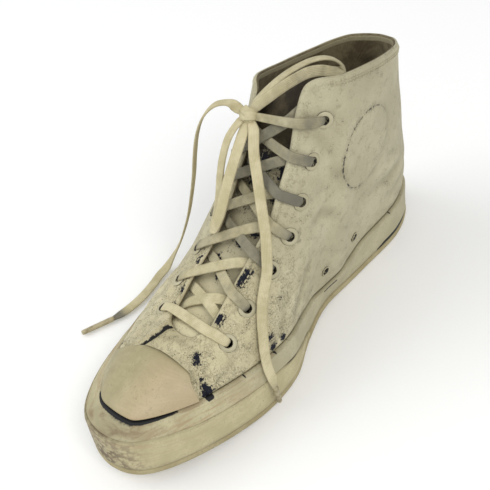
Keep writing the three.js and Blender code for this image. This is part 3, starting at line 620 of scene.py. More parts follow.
def painted_look(tree, place):
    """Cream paint over navy canvas, cracked and flaked, darkened in the folds by grime and painted shade,
    brighter towards the toe partly as painted light, with a broken dark line round the sewn circle and a
    painted shadow under the outer quarter's lifted edge and along the inner quarter's front edge."""
    wear = paint_wear(tree)
    base = two_tone(tree, wear["Clouds"], 0.35, 0.68, "ada68a", "bcb699")
    # Brighter, warmer paint towards the toe: partly the paint's own tone, partly painted light where the vamp
    # faces up to the lamps.
    toe_end = remap(tree, node(tree, "SeparateXYZ", place).outputs[0], -0.01, 0.05, 0, 0.85)
    warm_toe_paint_and_light = two_tone(tree, wear["Clouds"], 0.35, 0.68, "bfb591", "d0c7a5")
    base = mix(tree, toe_end, base, warm_toe_paint_and_light)
    base = mix(tree, remap(tree, wear["Grain"], 0.5, 1.1, 0, 0.5), base, colour("746b50"))
    # Grime and painted shade: darker in the crease troughs, round the sewn circle and in a line just above
    # the foxing where the wall meets it.
    base = stained(tree, base, attribute(tree, "grime_and_shade"), 0.6, "7d765b")
    base = stained(tree, base, wear["Cracks"], 0.85, "2f2c25")
    broken = remap(tree, noise(tree, place, 420, 4, 0.65), 0.42, 0.56)
    ring = remap(tree, math(tree, "ABSOLUTE", attribute(tree, "ring")), 0.012, 0.03, 1, 0)
    ring = times(tree, times(tree, ring, broken), attribute(tree, "ring_worn"))
    base = mix(tree, ring, base, colour("34302a"))
    base = mix(tree, wear["Flakes"], base, colour("131623"))
    # Painted shadow: near black under the outer quarter's lifted edge and along the inner quarter's front
    # edge, where the mesh has no real gap to cast one.
    frayed = times(tree, minus(tree, broken, 0.5), 0.3)
    dark = remap(tree, plus(tree, attribute(tree, "gap"), frayed), 0.3, 0.55)
    base = mix(tree, dark, base, colour("0e0d0c"))
    rough = plus(tree, 0.58, times(tree, wear["Flakes"], 0.3))
    return {"Base Color": base, "Roughness": rough, "Normal": bump(tree, wear["Height"], 0.6, 0.0005),
            "Specular IOR Level": 0.35}


def lining_look(tree, place):
    """Bare cotton lining, olive brown, with darker stains and a visible weave, painted shade that darkens it
    deeper inside the shoe, and cream paint brushed over its topmost edge."""
    warp = node(tree, "TexWave", place, 420.0, 1.5, 2.0, bands_direction="Z").outputs["Fac"]
    weft = node(tree, "TexWave", place, 420.0, 1.5, 2.0, bands_direction="X").outputs["Fac"]
    weave = plus(tree, warp, weft)
    stain = noise(tree, place, 60, 6, 0.7)
    base = two_tone(tree, stain, 0.38, 0.64, "857a5d", "5c5139")
    base = mix(tree, remap(tree, weave, 0.3, 1.2, 0.25, 0), base, colour("4a402c"))
    # Painted shade: the lining is darker deeper inside the shoe.
    base = stained(tree, base, attribute(tree, "grime_and_shade"), 0.85, "2f281b")
    ragged = plus(tree, attribute(tree, "rim"), times(tree, minus(tree, stain, 0.5), 0.8))
    base = mix(tree, remap(tree, ragged, 0.4, 0.6, 0, 0.85), base, colour("a39b7c"))
    return {"Base Color": base, "Roughness": 0.95, "Normal": bump(tree, weave, 0.4, 0.0005)}


fine = np.linspace(0, STATIONS, 4001)
travel = travelled(outline(fine))


def even_stations(count):
    """Stations spread evenly round the sole's edge."""
    return np.interp(np.arange(count) / count * travel[-1], travel, fine)


base_stations = even_stations(396)
step_stations = (9.47, 9.49, 9.51, 9.53, 16.46, 16.49, 16.51)
near_step = np.abs(base_stations[:, None] - np.array(step_stations)).min(1) < 0.03
base_stations = np.sort(np.concatenate([base_stations[~near_step], step_stations]))
shares = np.concatenate([(0, 0.1, 0.17), np.linspace(FOXING_SHARE, 1, 96)])
s_grid, v_grid = np.meshgrid(base_stations, shares, indexing="ij")
medial_shift = (np.interp(v_grid, *MEDIAL_FRONT.T) - MEDIAL_STEP) * bell(s_grid - MEDIAL_STEP, 1.4)
lateral_shift = (np.interp(v_grid, *LATERAL_FRONT.T) - LATERAL_STEP) * bell(s_grid - LATERAL_STEP, 2.0)
on_quarter = (s_grid < MEDIAL_STEP) | (s_grid > LATERAL_STEP)
sewn_s = s_grid
s_grid = s_grid + medial_shift + lateral_shift
face = wall(s_grid, v_grid)
normal = wall_normal(s_grid, v_grid)
flat_face = face.reshape(-1, 3)

# Creases: route of stations and shares, width and depth.
CREASES = [
    ([(9.9, 0.9), (11.5, 0.93), (14.5, 0.93), (15.4, 0.86)], 2.2, 0.5),
    ([(9.0, 0.36), (8.75, 0.5), (8.6, 0.62)], 2.6, 0.6),
    ([(8.2, 0.32), (7.9, 0.46), (7.75, 0.6)], 3.0, 0.8),
    ([(7.3, 0.27), (7.15, 0.42), (7.0, 0.58)], 3.2, 0.8),
    ([(6.6, 0.3), (6.2, 0.44), (5.8, 0.52)], 3.4, 0.9),
    ([(6.0, 0.62), (5.4, 0.56), (4.8, 0.5)], 4.0, 1.0),
    ([(5.2, 0.68), (4.7, 0.62)], 3.0, 0.6),
    ([(3.9, 0.47), (3.4, 0.44), (2.6, 0.46)], 4.0, 1.0),
    ([(3.4, 0.34), (2.6, 0.36), (1.6, 0.42)], 3.5, 0.8),
    ([(5.6, 0.9), (5.1, 0.72), (4.75, 0.66)], 3.2, 0.6),
    ([(6.68, 0.45), (6.12, 0.335), (5.6, 0.23)], 1.3, 0.45),
    ([(8.78, 0.965), (8.54, 0.785), (8.24, 0.645)], 1.2, 0.4),
    ([(17.3, 0.4), (17.6, 0.55), (17.8, 0.66)], 2.8, 0.8),
    ([(18.2, 0.32), (18.5, 0.48), (18.6, 0.62)], 3.0, 0.9),
    ([(19.2, 0.3), (19.5, 0.46), (19.9, 0.56)], 3.2, 0.9),
    ([(20.2, 0.6), (20.9, 0.52), (21.8, 0.48)], 4.0, 1.1),
    ([(21.6, 0.38), (22.6, 0.38), (23.6, 0.42)], 3.6, 0.9),
]
fold = sum(crease(flat_face, *row) for row in CREASES).reshape(s_grid.shape)
waves = 0.35 * np.sin(face[..., 0] / 13 + face[..., 2] / 17) * np.sin(face[..., 2] / 11 - face[..., 0] / 29)
open_share = ramp(v_grid, 0.22, 0.34)
fold = (fold + waves) * open_share

PATCH_PLACE, PATCH_RADIUS = (4.13, 0.66), 23.4
patch_gap = np.linalg.norm(face - wall(*PATCH_PLACE), axis=-1) - PATCH_RADIUS
on_medial = s_grid < 8
patch = np.where(on_medial, 0.35 / (1 + np.exp(np.clip(patch_gap / 0.6, -40, 40))), 0)
patch -= np.where(on_medial, 0.25 * bell(patch_gap - 0.4, 0.9), 0)
lift = np.where(on_quarter, QUARTER_RAISE * ramp(v_grid, FOXING_SHARE, FOXING_SHARE + 0.03), 0)
edge_shares = np.linspace(0.36, 1, 14)
edge_path = wall(np.interp(edge_shares, *LATERAL_FRONT.T) + 0.02, edge_shares)
curl_gap, curl_along = near_path(flat_face, edge_path)
curl_height = np.interp(curl_along, (0, 0.25, 0.5, 0.7, 0.88, 1), (0, 0.3, 0.8, 2.2, 2.8, 1.6))
curl = curl_height * bell(curl_gap, 7)
lift = lift + np.where((s_grid > 15) & on_quarter, curl.reshape(s_grid.shape), 0)
hem = np.where(on_quarter, 0.35 * bell((1 - v_grid) * 130 - 3, 2.2), 0)

thinned = np.where(on_quarter, 0, 1.4 * ramp(v_grid, 0.9, 1) ** 2)
raised = lift + fold + patch + hem - thinned
outer = face + normal * raised[..., None]
inner_offset = np.where(v_grid > 0, -WALL, 0)
inner = face + normal * (inner_offset + 0.8 * fold)[..., None]
inner[:, 0] = face[:, 0] - outward(s_grid[:, 0]) * WALL
rise = unit(face[:, -1] - face[:, -2])
turn = np.radians((40, 90, 140))
middle = (outer[:, -1] + inner[:, -1]) / 2
half = (outer[:, -1] - inner[:, -1]) / 2
rim = middle[:, None] + half[:, None] * np.cos(turn)[:, None] + rise[:, None] * (1.1 * np.sin(turn))[:, None]
section = np.concatenate([outer, rim, inner[:, ::-1]], 1)

rows, columns = section.shape[:2]
faces = grid(rows, columns, True, True)
cells = faces.reshape(rows, columns, 4)
count = len(shares)
holes = np.concatenate([EYELETS[:, :2], EYELETS[:, 2:], VENTS])
hole_places = on_wall(holes[:, 0], holes[:, 1], QUARTER_RAISE)
following = np.roll(outer, -1, 0)
centre = (outer[:, :-1] + outer[:, 1:] + following[:, :-1] + following[:, 1:]) / 4
cut = np.linalg.norm(centre[:, :, None] - hole_places, axis=-1).min(-1) < HOLE_RADIUS
keep = np.ones((rows, columns), bool)
keep[:, :count - 1] = ~cut
keep[:, columns - count:columns - 1] = ~cut[:, ::-1]
index = np.arange(rows * columns).reshape(rows, columns)
out_index, in_index = index[:, :count], index[:, ::-1][:, :count]
next_row = np.roll(np.arange(rows), -1)
gone = np.pad(cut, ((0, 0), (1, 1)))
below = np.argwhere(gone[:, 1:] & ~gone[:, :-1])
above = np.argwhere(~gone[:, 1:] & gone[:, :-1])
before = np.argwhere(cut & ~np.roll(cut, 1, 0))
after = np.argwhere(~cut & np.roll(cut, 1, 0))


def hole_sides(places, step_i, step_j, flip):
    """Faces through the wall along one side of the cut-out cells."""
    i, j = places.T
    p, q = (i, j), (next_row[i] if step_i else i, j + step_j)
    ring = np.stack([out_index[p], out_index[q], in_index[q], in_index[p]], -1)
    return ring[:, ::-1] if flip else ring


sides = np.concatenate([
    hole_sides(below, 1, 0, False), hole_sides(above, 1, 0, True),
    hole_sides(before, 0, 1, True), hole_sides(after, 0, 1, False),
])
lined = np.zeros((rows, columns), int)
lined[:, count + 1:columns - 1] = 1
all_faces = np.concatenate([cells[keep], sides])
kinds = np.concatenate([lined[keep], np.zeros(len(sides), int)])

# Spots of cracked paint, then of bare cloth: station, share, radius and strength.
CRACK_SPOTS = np.array([
    (10.1, 0.76, 5, 0.6), (9.78, 0.6, 6, 0.75), (9.56, 0.485, 7, 0.85), (9.64, 0.715, 9, 0.85),
    (9.18, 0.28, 6, 0.8), (8.92, 0.29, 6, 0.8), (8.6, 0.255, 6, 0.8), (8.86, 0.49, 9, 0.4),
    (9.18, 0.585, 8, 0.45), (8.62, 0.61, 9, 0.4), (8.78, 0.965, 6, 0.9), (8.54, 0.785, 5, 0.75),
    (8.24, 0.645, 5, 0.7), (7.28, 0.54, 12, 0.8), (7.7, 0.525, 11, 0.65), (6.72, 0.375, 10, 0.8),
    (6.24, 0.22, 8, 0.85), (7.2, 0.34, 9, 0.9), (7.62, 0.35, 9, 0.95), (5.72, 0.315, 3, 0.8),
    (7.24, 0.78, 4, 0.8), (7.5, 0.76, 11, 0.6), (6.44, 0.7, 2.4, 1), (6.46, 0.675, 2.4, 1),
    (6.98, 0.64, 12, 0.45), (6.06, 0.475, 9, 0.35), (5.44, 0.445, 8, 0.3), (3.4, 0.425, 3.5, 0.85),
    (2.68, 0.23, 4, 0.8), (3.2, 0.23, 4, 0.8), (8, 0.975, 6, 0.9), (7.8, 0.96, 6, 0.9),
    (8.83, 0.69, 10, 0.5), (8.13, 0.765, 10, 0.45), (6.73, 0.77, 9, 0.4), (16.3, 0.5, 8, 0.7),
    (16.6, 0.7, 9, 0.6), (16.9, 0.81, 8, 0.75), (17.24, 0.6, 9, 0.6), (16.98, 0.95, 6, 0.9),
    (17.5, 0.92, 8, 0.85), (18.2, 0.9, 10, 0.75), (19, 0.9, 12, 0.6), (17.8, 0.4, 10, 0.6),
    (18.6, 0.45, 12, 0.5),
])
FLAKE_SPOTS = np.array([
    (8.8, 0.99, 4.2, 0.95), (8, 0.975, 3, 0.9), (7.9, 0.965, 3, 0.9), (7.8, 0.96, 3, 0.85),
    (9.66, 0.755, 3.2, 0.85), (9.62, 0.69, 3, 0.75), (9.54, 0.485, 2.4, 0.8), (9.46, 0.39, 2.6, 0.95),
    (9.38, 0.24, 4.4, 1), (7.28, 0.57, 2, 0.6), (7.66, 0.375, 3.4, 0.85), (7.2, 0.275, 3, 0.85),
    (7.58, 0.26, 3.4, 0.9), (6.2, 0.22, 3, 0.85), (16.98, 0.95, 3, 0.8), (17.1, 0.95, 3, 0.85),
    (17.45, 0.97, 3.2, 0.9), (18.1, 0.97, 3.6, 0.95), (16.5, 0.28, 3, 0.9), (17.75, 0.97, 3, 0.9),
    (18.5, 0.97, 3, 0.85),
])
crack, flake = (
    spots(flat_face, wall(*rows[:, :2].T), rows).reshape(s_grid.shape) for rows in (CRACK_SPOTS, FLAKE_SPOTS))
near_ring = np.where(on_medial, bell(patch_gap - 0.3, 2.2), 0)
ring_worn = np.clip((face[..., 0] - 58) / 26 + (face[..., 2] - 106) / 60, 0.12, 1)
forefoot = ramp(face[..., 0], 120, 170)
crack = np.maximum(np.maximum(crack, 0.5 * near_ring * ring_worn), 0.14 + 0.27 * forefoot)
# Grime and painted shade on the outer face: the crease troughs and the groove round the sewn circle darken,
# and so does a thin line just above the foxing where the wall meets it.
grime_and_shade = np.clip(-fold * 0.7, 0, 1) + 0.25 * near_ring + 0.5 * bell(v_grid - 0.215, 0.02)
# Painted shadow: under the outer quarter's lifted front edge, and a thin line along the inner quarter's front
# edge.
flap_shadow = ramp(sewn_s, 16.42, 16.46) * (sewn_s < LATERAL_STEP) * np.clip((v_grid - 0.3) / 0.12, 0.35, 1)
front_edge_shadow = 0.42 * bell(sewn_s - 9.515, 0.012) * (v_grid > FOXING_SHARE)
rim_wear = np.broadcast_to(np.array((0.25, 0.3, 0.3)), (len(section), 3))
# Painted shade for the lining: darker towards the bottom, deep inside the shoe.
shade_deep_inside = 1 - ramp(face[..., 2], 38, 118)


def with_lining(outer_values, rim_values, lining_values):
    """Values of the outer face, the rim and the lining, in the order of the section's points."""
    lining_values = np.broadcast_to(lining_values, outer_values.shape)
    return np.concatenate([outer_values, rim_values, lining_values[:, ::-1]], 1)


none = 0 * rim_wear
values = {
    "crack": with_lining(crack, rim_wear, 0.0),
    "flake": with_lining(flake, none, 0.0),
    "grime_and_shade": with_lining(np.clip(grime_and_shade, 0, 1), rim_wear, shade_deep_inside),
    # The gap attribute holds the painted shadow, not a real gap.
    "gap": with_lining(np.maximum(flap_shadow, front_edge_shadow), none, 0.0),
    "ring": with_lining(np.where(on_medial, np.clip(patch_gap / 20, -1, 1), 1), none + 1, 1.0),
    "ring_worn": with_lining(ring_worn, none, 0.0),
    "rim": with_lining(0 * ring_worn, none, ramp(v_grid, 0.95, 0.98)),
}
painted = surface_material("painted_canvas", painted_look)
piece("upper_canvas", section, all_faces, [painted, surface_material("lining_cotton", lining_look)],
      ["upper"], values, kinds=kinds, close=False)


# Stitches: rows of cotton thread that hold the collar's hem, the throat's edges and the quarters'
# fronts. They were sewn before the shoe was painted, so the paint covers them.
STITCH_SPACING, STITCH_SIDES = 2.7, 8


def stitch_row(route):
    """Flattened ellipsoids in a row on the painted face along a route of stations and shares."""
    s, v = resampled(route, 300).T
    far = travelled(wall(s, v))
    at = np.arange(STITCH_SPACING / 2, far[-1], STITCH_SPACING)
    s, v = np.interp(at, far, s), np.interp(at, far, v)
    seat, up = wall(s, v), wall_normal(s, v)
    gap = np.linalg.norm(seat[:, None] - flat_face, axis=-1)
    near = np.argpartition(gap, 4, axis=1)[:, :4]
    weight = 1 / (np.take_along_axis(gap, near, 1) + 0.05)
    height = (raised.ravel()[near] * weight).sum(1) / weight.sum(1)
    run = unit(np.gradient(seat, axis=0))
    side = np.cross(up, run)
    turn = np.linspace(0, 2 * np.pi, STITCH_SIDES, endpoint=False)
    lengths, radii = np.array((-1.0, -0.8, 0, 0.8, 1.0)), np.array((0.0, 0.3, 0.42, 0.3, 0.0))
    spoke = side[:, None] * np.cos(turn)[:, None] + 0.8 * up[:, None] * np.sin(turn)[:, None]
    middle = seat + up * (height + 0.12)[:, None]
    return (middle[:, None, None] + run[:, None, None] * lengths[:, None, None]
            + spoke[:, None] * radii[:, None, None])


def front_row(front, back, low):
    """Route beside a quarter's front edge, some stations back from it, from a low share to the throat."""
    return [(np.interp(v, *front.T) + back, v) for v in np.linspace(low, 0.97, 12)]


stitches = np.concatenate([stitch_row(route) for route in (
    [(-4.9, 0.972), (0, 0.97), (4.9, 0.974)], [(-4.9, 0.95), (0, 0.948), (4.9, 0.954)],
    [(5.5, 0.955), (6.5, 0.95), (7.6, 0.94), (9.2, 0.93)], [(16.8, 0.94), (18.4, 0.945), (20.5, 0.955)],
    front_row(LATERAL_FRONT, 0.2, 0.34), front_row(MEDIAL_FRONT, -0.13, 0.26),
    front_row(MEDIAL_FRONT, -0.25, 0.26))])


def copies(one, count, size):
    """The faces of one small shape repeated for a number of copies, each with its own points."""
    return (one + size * np.arange(count)[:, None, None]).reshape(-1, 4)


number, rows, columns = stitches.shape[:3]
faces = copies(grid(rows, columns, wrap_columns=True), number, rows * columns)
plain = np.zeros(stitches.shape[:3])
values = {
    "crack": plain + 0.2, "flake": plain, "grime_and_shade": plain + 0.15,
    "gap": plain, "ring": plain + 1, "ring_worn": plain,
}
piece("upper_stitches", stitches, faces, [painted], (), values)


# Tongue: a bowed canvas sheet under the throat, its top leaning back into the collar. Its lower part
# is painted and flaked to navy cloth, with extra flakes that partly serve as painted shade in the
# throat, and its top is bare brown cloth, painted darker still as shade.

# Rows of its middle line, from the root up: place along the shoe, height and half width.
TONGUE = np.array([
    (214, 49.2, 13), (205, 48.9, 16), (197.5, 50.4, 19), (181, 60.2, 21), (162, 71.7, 22), (146, 85.6, 22),
    (134, 100.8, 21), (124, 115.5, 19), (113, 130, 18.5), (101, 141, 19.5), (90, 145.5, 20),
])
TONGUE_MIDDLE_Y = 3.0


def smooth_path(points, t):
    """Centripetal Catmull-Rom curve through points, at shares t of its spans."""
    points = np.asarray(points, float)
    padded = np.concatenate([[2 * points[0] - points[1]], points, [2 * points[-1] - points[-2]]])
    span = np.clip(np.asarray(t, float), 0, 1) * (len(points) - 1)
    i = np.minimum(np.floor(span).astype(int), len(points) - 2)
    u = (span - i)[:, None]
    a, b, c, d = (padded[i + k] for k in range(4))
    spans = np.linalg.norm((b - a, c - b, d - c), axis=-1)
    ab, bc, cd = np.sqrt(np.maximum(spans, 1e-6))[..., None]
    leave = ((b - a) / ab - (c - a) / (ab + bc) + (c - b) / bc) * bc
    arrive = ((c - b) / bc - (d - b) / (bc + cd) + (d - c) / cd) * bc
    return hermite(b, leave, c, arrive, u)


def tongue_sheet(along, across_w, offset):
    """Point of the tongue: along its middle line, across its half width, off its middle surface."""
    trim = np.where(across_w > 0, 0.04, 0.15) * across_w**2
    t = (along * (1 - trim)).ravel()
    line = np.stack([TONGUE[:, 0], np.full(len(TONGUE), TONGUE_MIDDLE_Y), TONGUE[:, 1]], 1)
    point, ahead, behind = (smooth_path(line, np.clip(t + d, 0, 1)) for d in (0, 0.005, -0.005))
    run = unit(ahead - behind)
    upward = np.stack([run[:, 2], 0 * t, -run[:, 0]], 1)
    half_width = np.interp(t, np.linspace(0, 1, len(TONGUE)), TONGUE[:, 2])
    y = across_w.ravel() * half_width
    bow = 0.1 * y - 0.013 * y * y + np.ravel(offset)
    return (point + upward * bow[:, None] + np.stack([0 * y, y, 0 * y], 1)).reshape(along.shape + (3,))


def tongue_look(tree, place):
    """The upper's paint low down, brighter at the root partly as painted light, and bare brown cotton towards
    the top, its dark brown partly painted shade.
    """
    wear = paint_wear(tree)
    base = two_tone(tree, wear["Clouds"], 0.35, 0.68, "aaa283", "b9b194")
    # Brighter paint towards the root, as on the vamp: partly the paint's own tone, partly painted light.
    low_end = remap(tree, node(tree, "SeparateXYZ", place).outputs[0], 0.03, 0.058, 0, 0.9)
    base = mix(tree, low_end, base, mix(tree, wear["Clouds"], colour("c6bc98"), colour("d2c9a7")))
    base = stained(tree, base, wear["Cracks"], 0.85, "2a2721")
    base = mix(tree, wear["Flakes"], base, colour("131624"))
    stain = noise(tree, place, 70, 5, 0.65)
    # Bare cloth at the top, dark brown: partly the cloth's own colour, partly painted shade in the throat.
    cloth = two_tone(tree, stain, 0.35, 0.65, "574d37", "332b1d")
    base = mix(tree, attribute(tree, "bare"), base, cloth)
    return {"Base Color": base, "Roughness": 0.85, "Normal": bump(tree, wear["Height"], 0.5, 0.0005)}


along, across_w = np.meshgrid(np.linspace(0, 1, 110), np.linspace(-1, 1, 49), indexing="ij")
ripple = 0.5 * np.sin(along * 41 + across_w * 2.2) * np.clip(along * 3 - 0.6, 0, 1) * (1 - 0.5 * across_w**2)
edge_hem = 0.5 * bell((1 - along) * 210 - 3.5, 2.6)
root = 2.9 * bell(along - 0.125, 0.055)
front = tongue_sheet(along, across_w, 1.0 + ripple + edge_hem + root)
back = tongue_sheet(along, across_w, -1.0 + ripple - edge_hem + root)
loops = np.concatenate([front, back[:, ::-1]], 1)
faces = grid(*loops.shape[:2], wrap_columns=True)
width = loops.shape[1]
strip = np.arange(width // 2 - 1)
start_cap = np.stack([strip, width - 1 - strip, width - 2 - strip, strip + 1], -1)
end_cap = start_cap[:, ::-1] + (len(loops) - 1) * width
faces = np.concatenate([faces, start_cap[:, ::-1], end_cap[:, ::-1]])

# Spots of bare cloth: share along, share across, radius and strength.
TONGUE_FLAKES = np.array([
    (0.34, 0.0, 3.6, 0.85), (0.43, 0.02, 3.4, 0.85), (0.47, 0.3, 3.0, 0.8), (0.55, -0.35, 4.0, 0.9),
    (0.62, -0.4, 4.5, 0.9), (0.58, 0.4, 3.0, 0.75), (0.66, 0.6, 5.0, 0.9), (0.7, 0.2, 7.0, 0.9),
    (0.38, -0.4, 3, 0.7), (0.66, -0.1, 6.0, 0.85), (0.74, 0.6, 6.0, 0.85), (0.74, -0.5, 6.0, 0.85),
])
flake_middles = tongue_sheet(*TONGUE_FLAKES[:, :2].T, np.ones(len(TONGUE_FLAKES)))
tongue_flake = spots(front.reshape(-1, 3), flake_middles, TONGUE_FLAKES).reshape(along.shape)
# Extra navy flakes up the tongue: real flaking, and painted shade that darkens the throat.
tongue_flake = np.clip(tongue_flake + 0.2 * ramp(along, 0.22, 0.32), 0, 1)
tongue_crack = np.clip(0.35 + 0.5 * bell(along - 0.62, 0.12), 0, 1)
# Bare, dark brown top: the cloth's colour and painted shade.
bare = np.clip((along - 0.66) / 0.07 + 0.25 * np.sin(across_w * 9), 0, 1)
both = {"crack": tongue_crack, "flake": tongue_flake, "bare": bare}
values = {key: np.concatenate([value, np.ones_like(value) if key == "bare" else 0 * value], 1)
          for key, value in both.items()}
piece("tongue_canvas", loops, faces, [surface_material("tongue_canvas", tongue_look)],
      ["tongue"], values)


# Foxing: the rubber band round the upper, yellowed, its top edge rounded, with a black pinstripe
# along the top that shows where the cream paint has worn off.
BAND_MAP_HEIGHT = 26


def foxing_look(tree, place):
    """Painted and yellowed rubber, pinkish brown where scuffed, darkened at its foot, under its top edge and
    at the toe's front by grime and painted shade, and black where the stripe field is above zero."""
    wear = rubber_wear(tree)
    base = mix(tree, wear["Yellowing"], colour("a59f83"), colour("b3ad91"))
    toe_rubber = mix(tree, wear["Yellowing"], colour("aca481"), colour("bfb793"))
    base = mix(tree, attribute(tree, "scuff"), base, toe_rubber)
    pink = times(tree, wear["Scuff"], attribute(tree, "scuff"))
    base = stained(tree, base, pink, 0.8, "a38a69")
    base = stained(tree, base, wear["Dirt"], 0.6, "6a5f47")
    streaky = remap(tree, wear["Scuff"], 0, 1, 0.45, 1.0)
    # Grime and painted shade: darker at the foot, under the top edge and at the front of the toe.
    base = stained(tree, base, attribute(tree, "grime_and_shade"), streaky, "564b37")
    ragged = times(tree, minus(tree, noise(tree, place, 480, 4, 0.65), 0.5), 0.28)
    ragged = plus(tree, attribute(tree, "stripe"), ragged)
    base = mix(tree, remap(tree, ragged, -0.06, 0.06), base, colour("0c0c0f"))
    return {"Base Color": base, "Roughness": 0.66, "Normal": bump(tree, wear["Height"], 0.35, 0.0005),
            "Specular IOR Level": 0.4}


s_ring = even_stations(560)
foot = ground_at(s_ring) + RIM_HEIGHT + GAP
top, lean, set_in = (column(FOXING, i, s_ring) for i in (BAND_TOP, BAND_LEAN, BAND_SET_IN))
knee = ground_at(s_ring) + column(FOXING, STRIP_TOP, s_ring) - 0.6
profile = [(WALL_FOOT_INSET - GAP, foot), (lean + FOXING_TOP_WIDTH, top - 0.15), (lean + 2.1, top),
           (lean + 1.2, top), (lean + 0.45, top - 0.2), (lean + 0.08, top - 0.65)]
for t in np.linspace(0.02, 0.98, 26):
    swell = (set_in - 0.8) * np.clip(t / 0.7, 0, 1) ** 2 * np.clip((0.98 - t) / 0.05, 0, 1)
    wobble = 0.16 * np.sin(s_ring * 9 + 4 * t) * np.sin(np.pi * t)
    depth = lean + (set_in - lean) * t - np.maximum(swell, 0) + wobble
    profile.append((depth, top - 0.9 + (knee - top + 0.9) * t))
profile += [(set_in, knee - 0.4), (set_in, (knee + foot) / 2), (set_in, foot + 0.4), (set_in + 0.3, foot)]
section = np.stack([inset(s_ring, depth, z) for depth, z in profile], 1)

# Where black shows: station and width of the stripe under the top edge, and over the outsole.
STRIPE = np.array([
    (0, -2), (2.5, -2), (2.6, 0.5), (2.68, -2), (3.15, -2), (3.22, 0.5), (3.3, -2), (6.15, -2),
    (6.22, 0.6), (6.32, -2), (6.98, -2), (7.04, 0.6), (7.12, -2), (7.5, -2), (7.58, 1.1), (7.68, -2),
    (8.5, -2), (8.54, 1.0), (8.62, -2), (8.9, -2), (8.95, 0.7), (9.0, -2), (9.12, -2), (9.17, 0.6),
    (9.22, -2), (9.27, -2), (9.33, 1.2), (9.45, 1.5), (9.53, -2), (10.04, -2), (10.12, 0.1), (10.5, 0.6),
    (11.15, 0.95), (12.2, 0.95), (13.2, 0.9), (13.8, 0.85), (14.4, 0.8), (15.0, 0.5), (15.15, -2),
    (16.2, -2), (16.34, 0.8), (16.5, -2), (26, -2),
])
SEAM_BLACK = np.array([
    (0, -2), (2.1, -2), (2.25, 1.5), (2.7, 3.2), (3.4, 3), (3.6, 1.5), (3.66, -2), (26, -2),
])
PINSTRIPE = np.array([(0, -2), (4.76, -2), (4.82, 0.4), (5.22, 0.4), (5.28, -2), (26, -2)])
below_top = top[:, None] - section[..., 2]
over_foot = section[..., 2] - foot[:, None]
stripe = np.interp(s_ring, *STRIPE.T)[:, None] - below_top
stripe = np.maximum(stripe, np.interp(s_ring, *SEAM_BLACK.T)[:, None] - over_foot)
stripe = np.maximum(stripe, np.interp(s_ring, *PINSTRIPE.T)[:, None] - np.abs(below_top - 0.9))
level = np.clip(over_foot / (top - foot)[:, None], 0, 1)
toeward = ramp(section[..., 0], 175, 225)
values = {
    "stripe": stripe / 3,
    "scuff": 0.1 + 0.75 * toeward,
    # The foot and the top edge are painted darker as shade in the corners; the toe's front as dirt.
    "grime_and_shade": np.clip(0.8 * bell(level - 0.02, 0.05) + 0.3 * bell(level - 0.985, 0.02)
                     + 0.6 * bell(s_ring - 12.8, 1.8)[:, None], 0, 1),
}


def strip_map(stations, heights):
    """Map of a strip: length round the sole at its stations, and heights up it."""
    length_round = np.interp(stations, fine, travel)[:, None]
    return np.stack(np.broadcast_arrays(length_round, heights), -1)


piece("foxing_band", section, grid(*section.shape[:2], True, True),
      [surface_material("foxing_rubber", foxing_look)], ["foxing"], values,
      strip_map(s_ring, BAND_MAP_HEIGHT * level))


# Toe bumper: a thicker moulded strip outside the foxing, round the toe from arch to arch, pebbled
# at the front of the toe and worn smooth along the sides.
STRIP_MAP_HEIGHT = 20


def bumper_look(tree, place):
    """The foxing's rubber with brown broken pebbles where the strip keeps its moulding, darkened at its foot
    and in the crevice under its top by grime and painted shade.
    """
    wear = rubber_wear(tree)
    base = mix(tree, wear["Yellowing"], colour("b0a781"), colour("c0b791"))
    pink = times(tree, wear["Scuff"], attribute(tree, "scuff"))
    base = mix(tree, pink, base, colour("a3866a"))
    base = stained(tree, base, wear["Dirt"], 0.6, "65593f")
    cells = node(tree, "TexVoronoi", place, None, 340.0).outputs["Distance"]
    pebble = times(tree, remap(tree, cells, 0.3, 0.62), attribute(tree, "pebble"))
    broken = times(tree, pebble, remap(tree, noise(tree, place, 230, 5, 0.7), 0.36, 0.54))
    base = stained(tree, base, broken, 0.85, "5d4a35")
    streaky = remap(tree, wear["Scuff"], 0, 1, 0.5, 1.0)
    # Grime and painted shade: darker at the foot, in the crevice under the top and at the front of the toe.
    base = stained(tree, base, attribute(tree, "grime_and_shade"), streaky, "4b412f")
    height = minus(tree, wear["Height"], times(tree, pebble, 1.3))
    return {"Base Color": base, "Roughness": 0.7, "Normal": bump(tree, height, 0.5, 0.0007)}


s_run = np.linspace(6, 20, 300)
foot = ground_at(s_run) + RIM_HEIGHT + GAP
top = ground_at(s_run) + column(FOXING, STRIP_TOP, s_run)
behind = column(FOXING, BAND_SET_IN, s_run) - GAP
profile = [(behind, foot), (behind, top - 1), (behind * 0.8, top - 0.3), (behind * 0.5, top - 0.1),
           (0.6, top - 0.5), (0.38, top - 1.3)]
for t in np.linspace(0.12, 0.92, 10):
    profile.append((0.12 + 0.12 * np.sin(s_run * 11 + 3 * t), top + (foot - top) * t))
profile += [(0.15, foot + 0.5), (0.5, foot)]
section = np.stack([inset(s_run, depth, z) for depth, z in profile], 1)
level = np.clip((section[..., 2] - foot[:, None]) / (top - foot)[:, None], 0, 1)
pebbled = np.interp(s_run, (11.2, 12, 13, 14.8, 15.8), (0, 0.7, 1, 1, 0.2))[:, None]
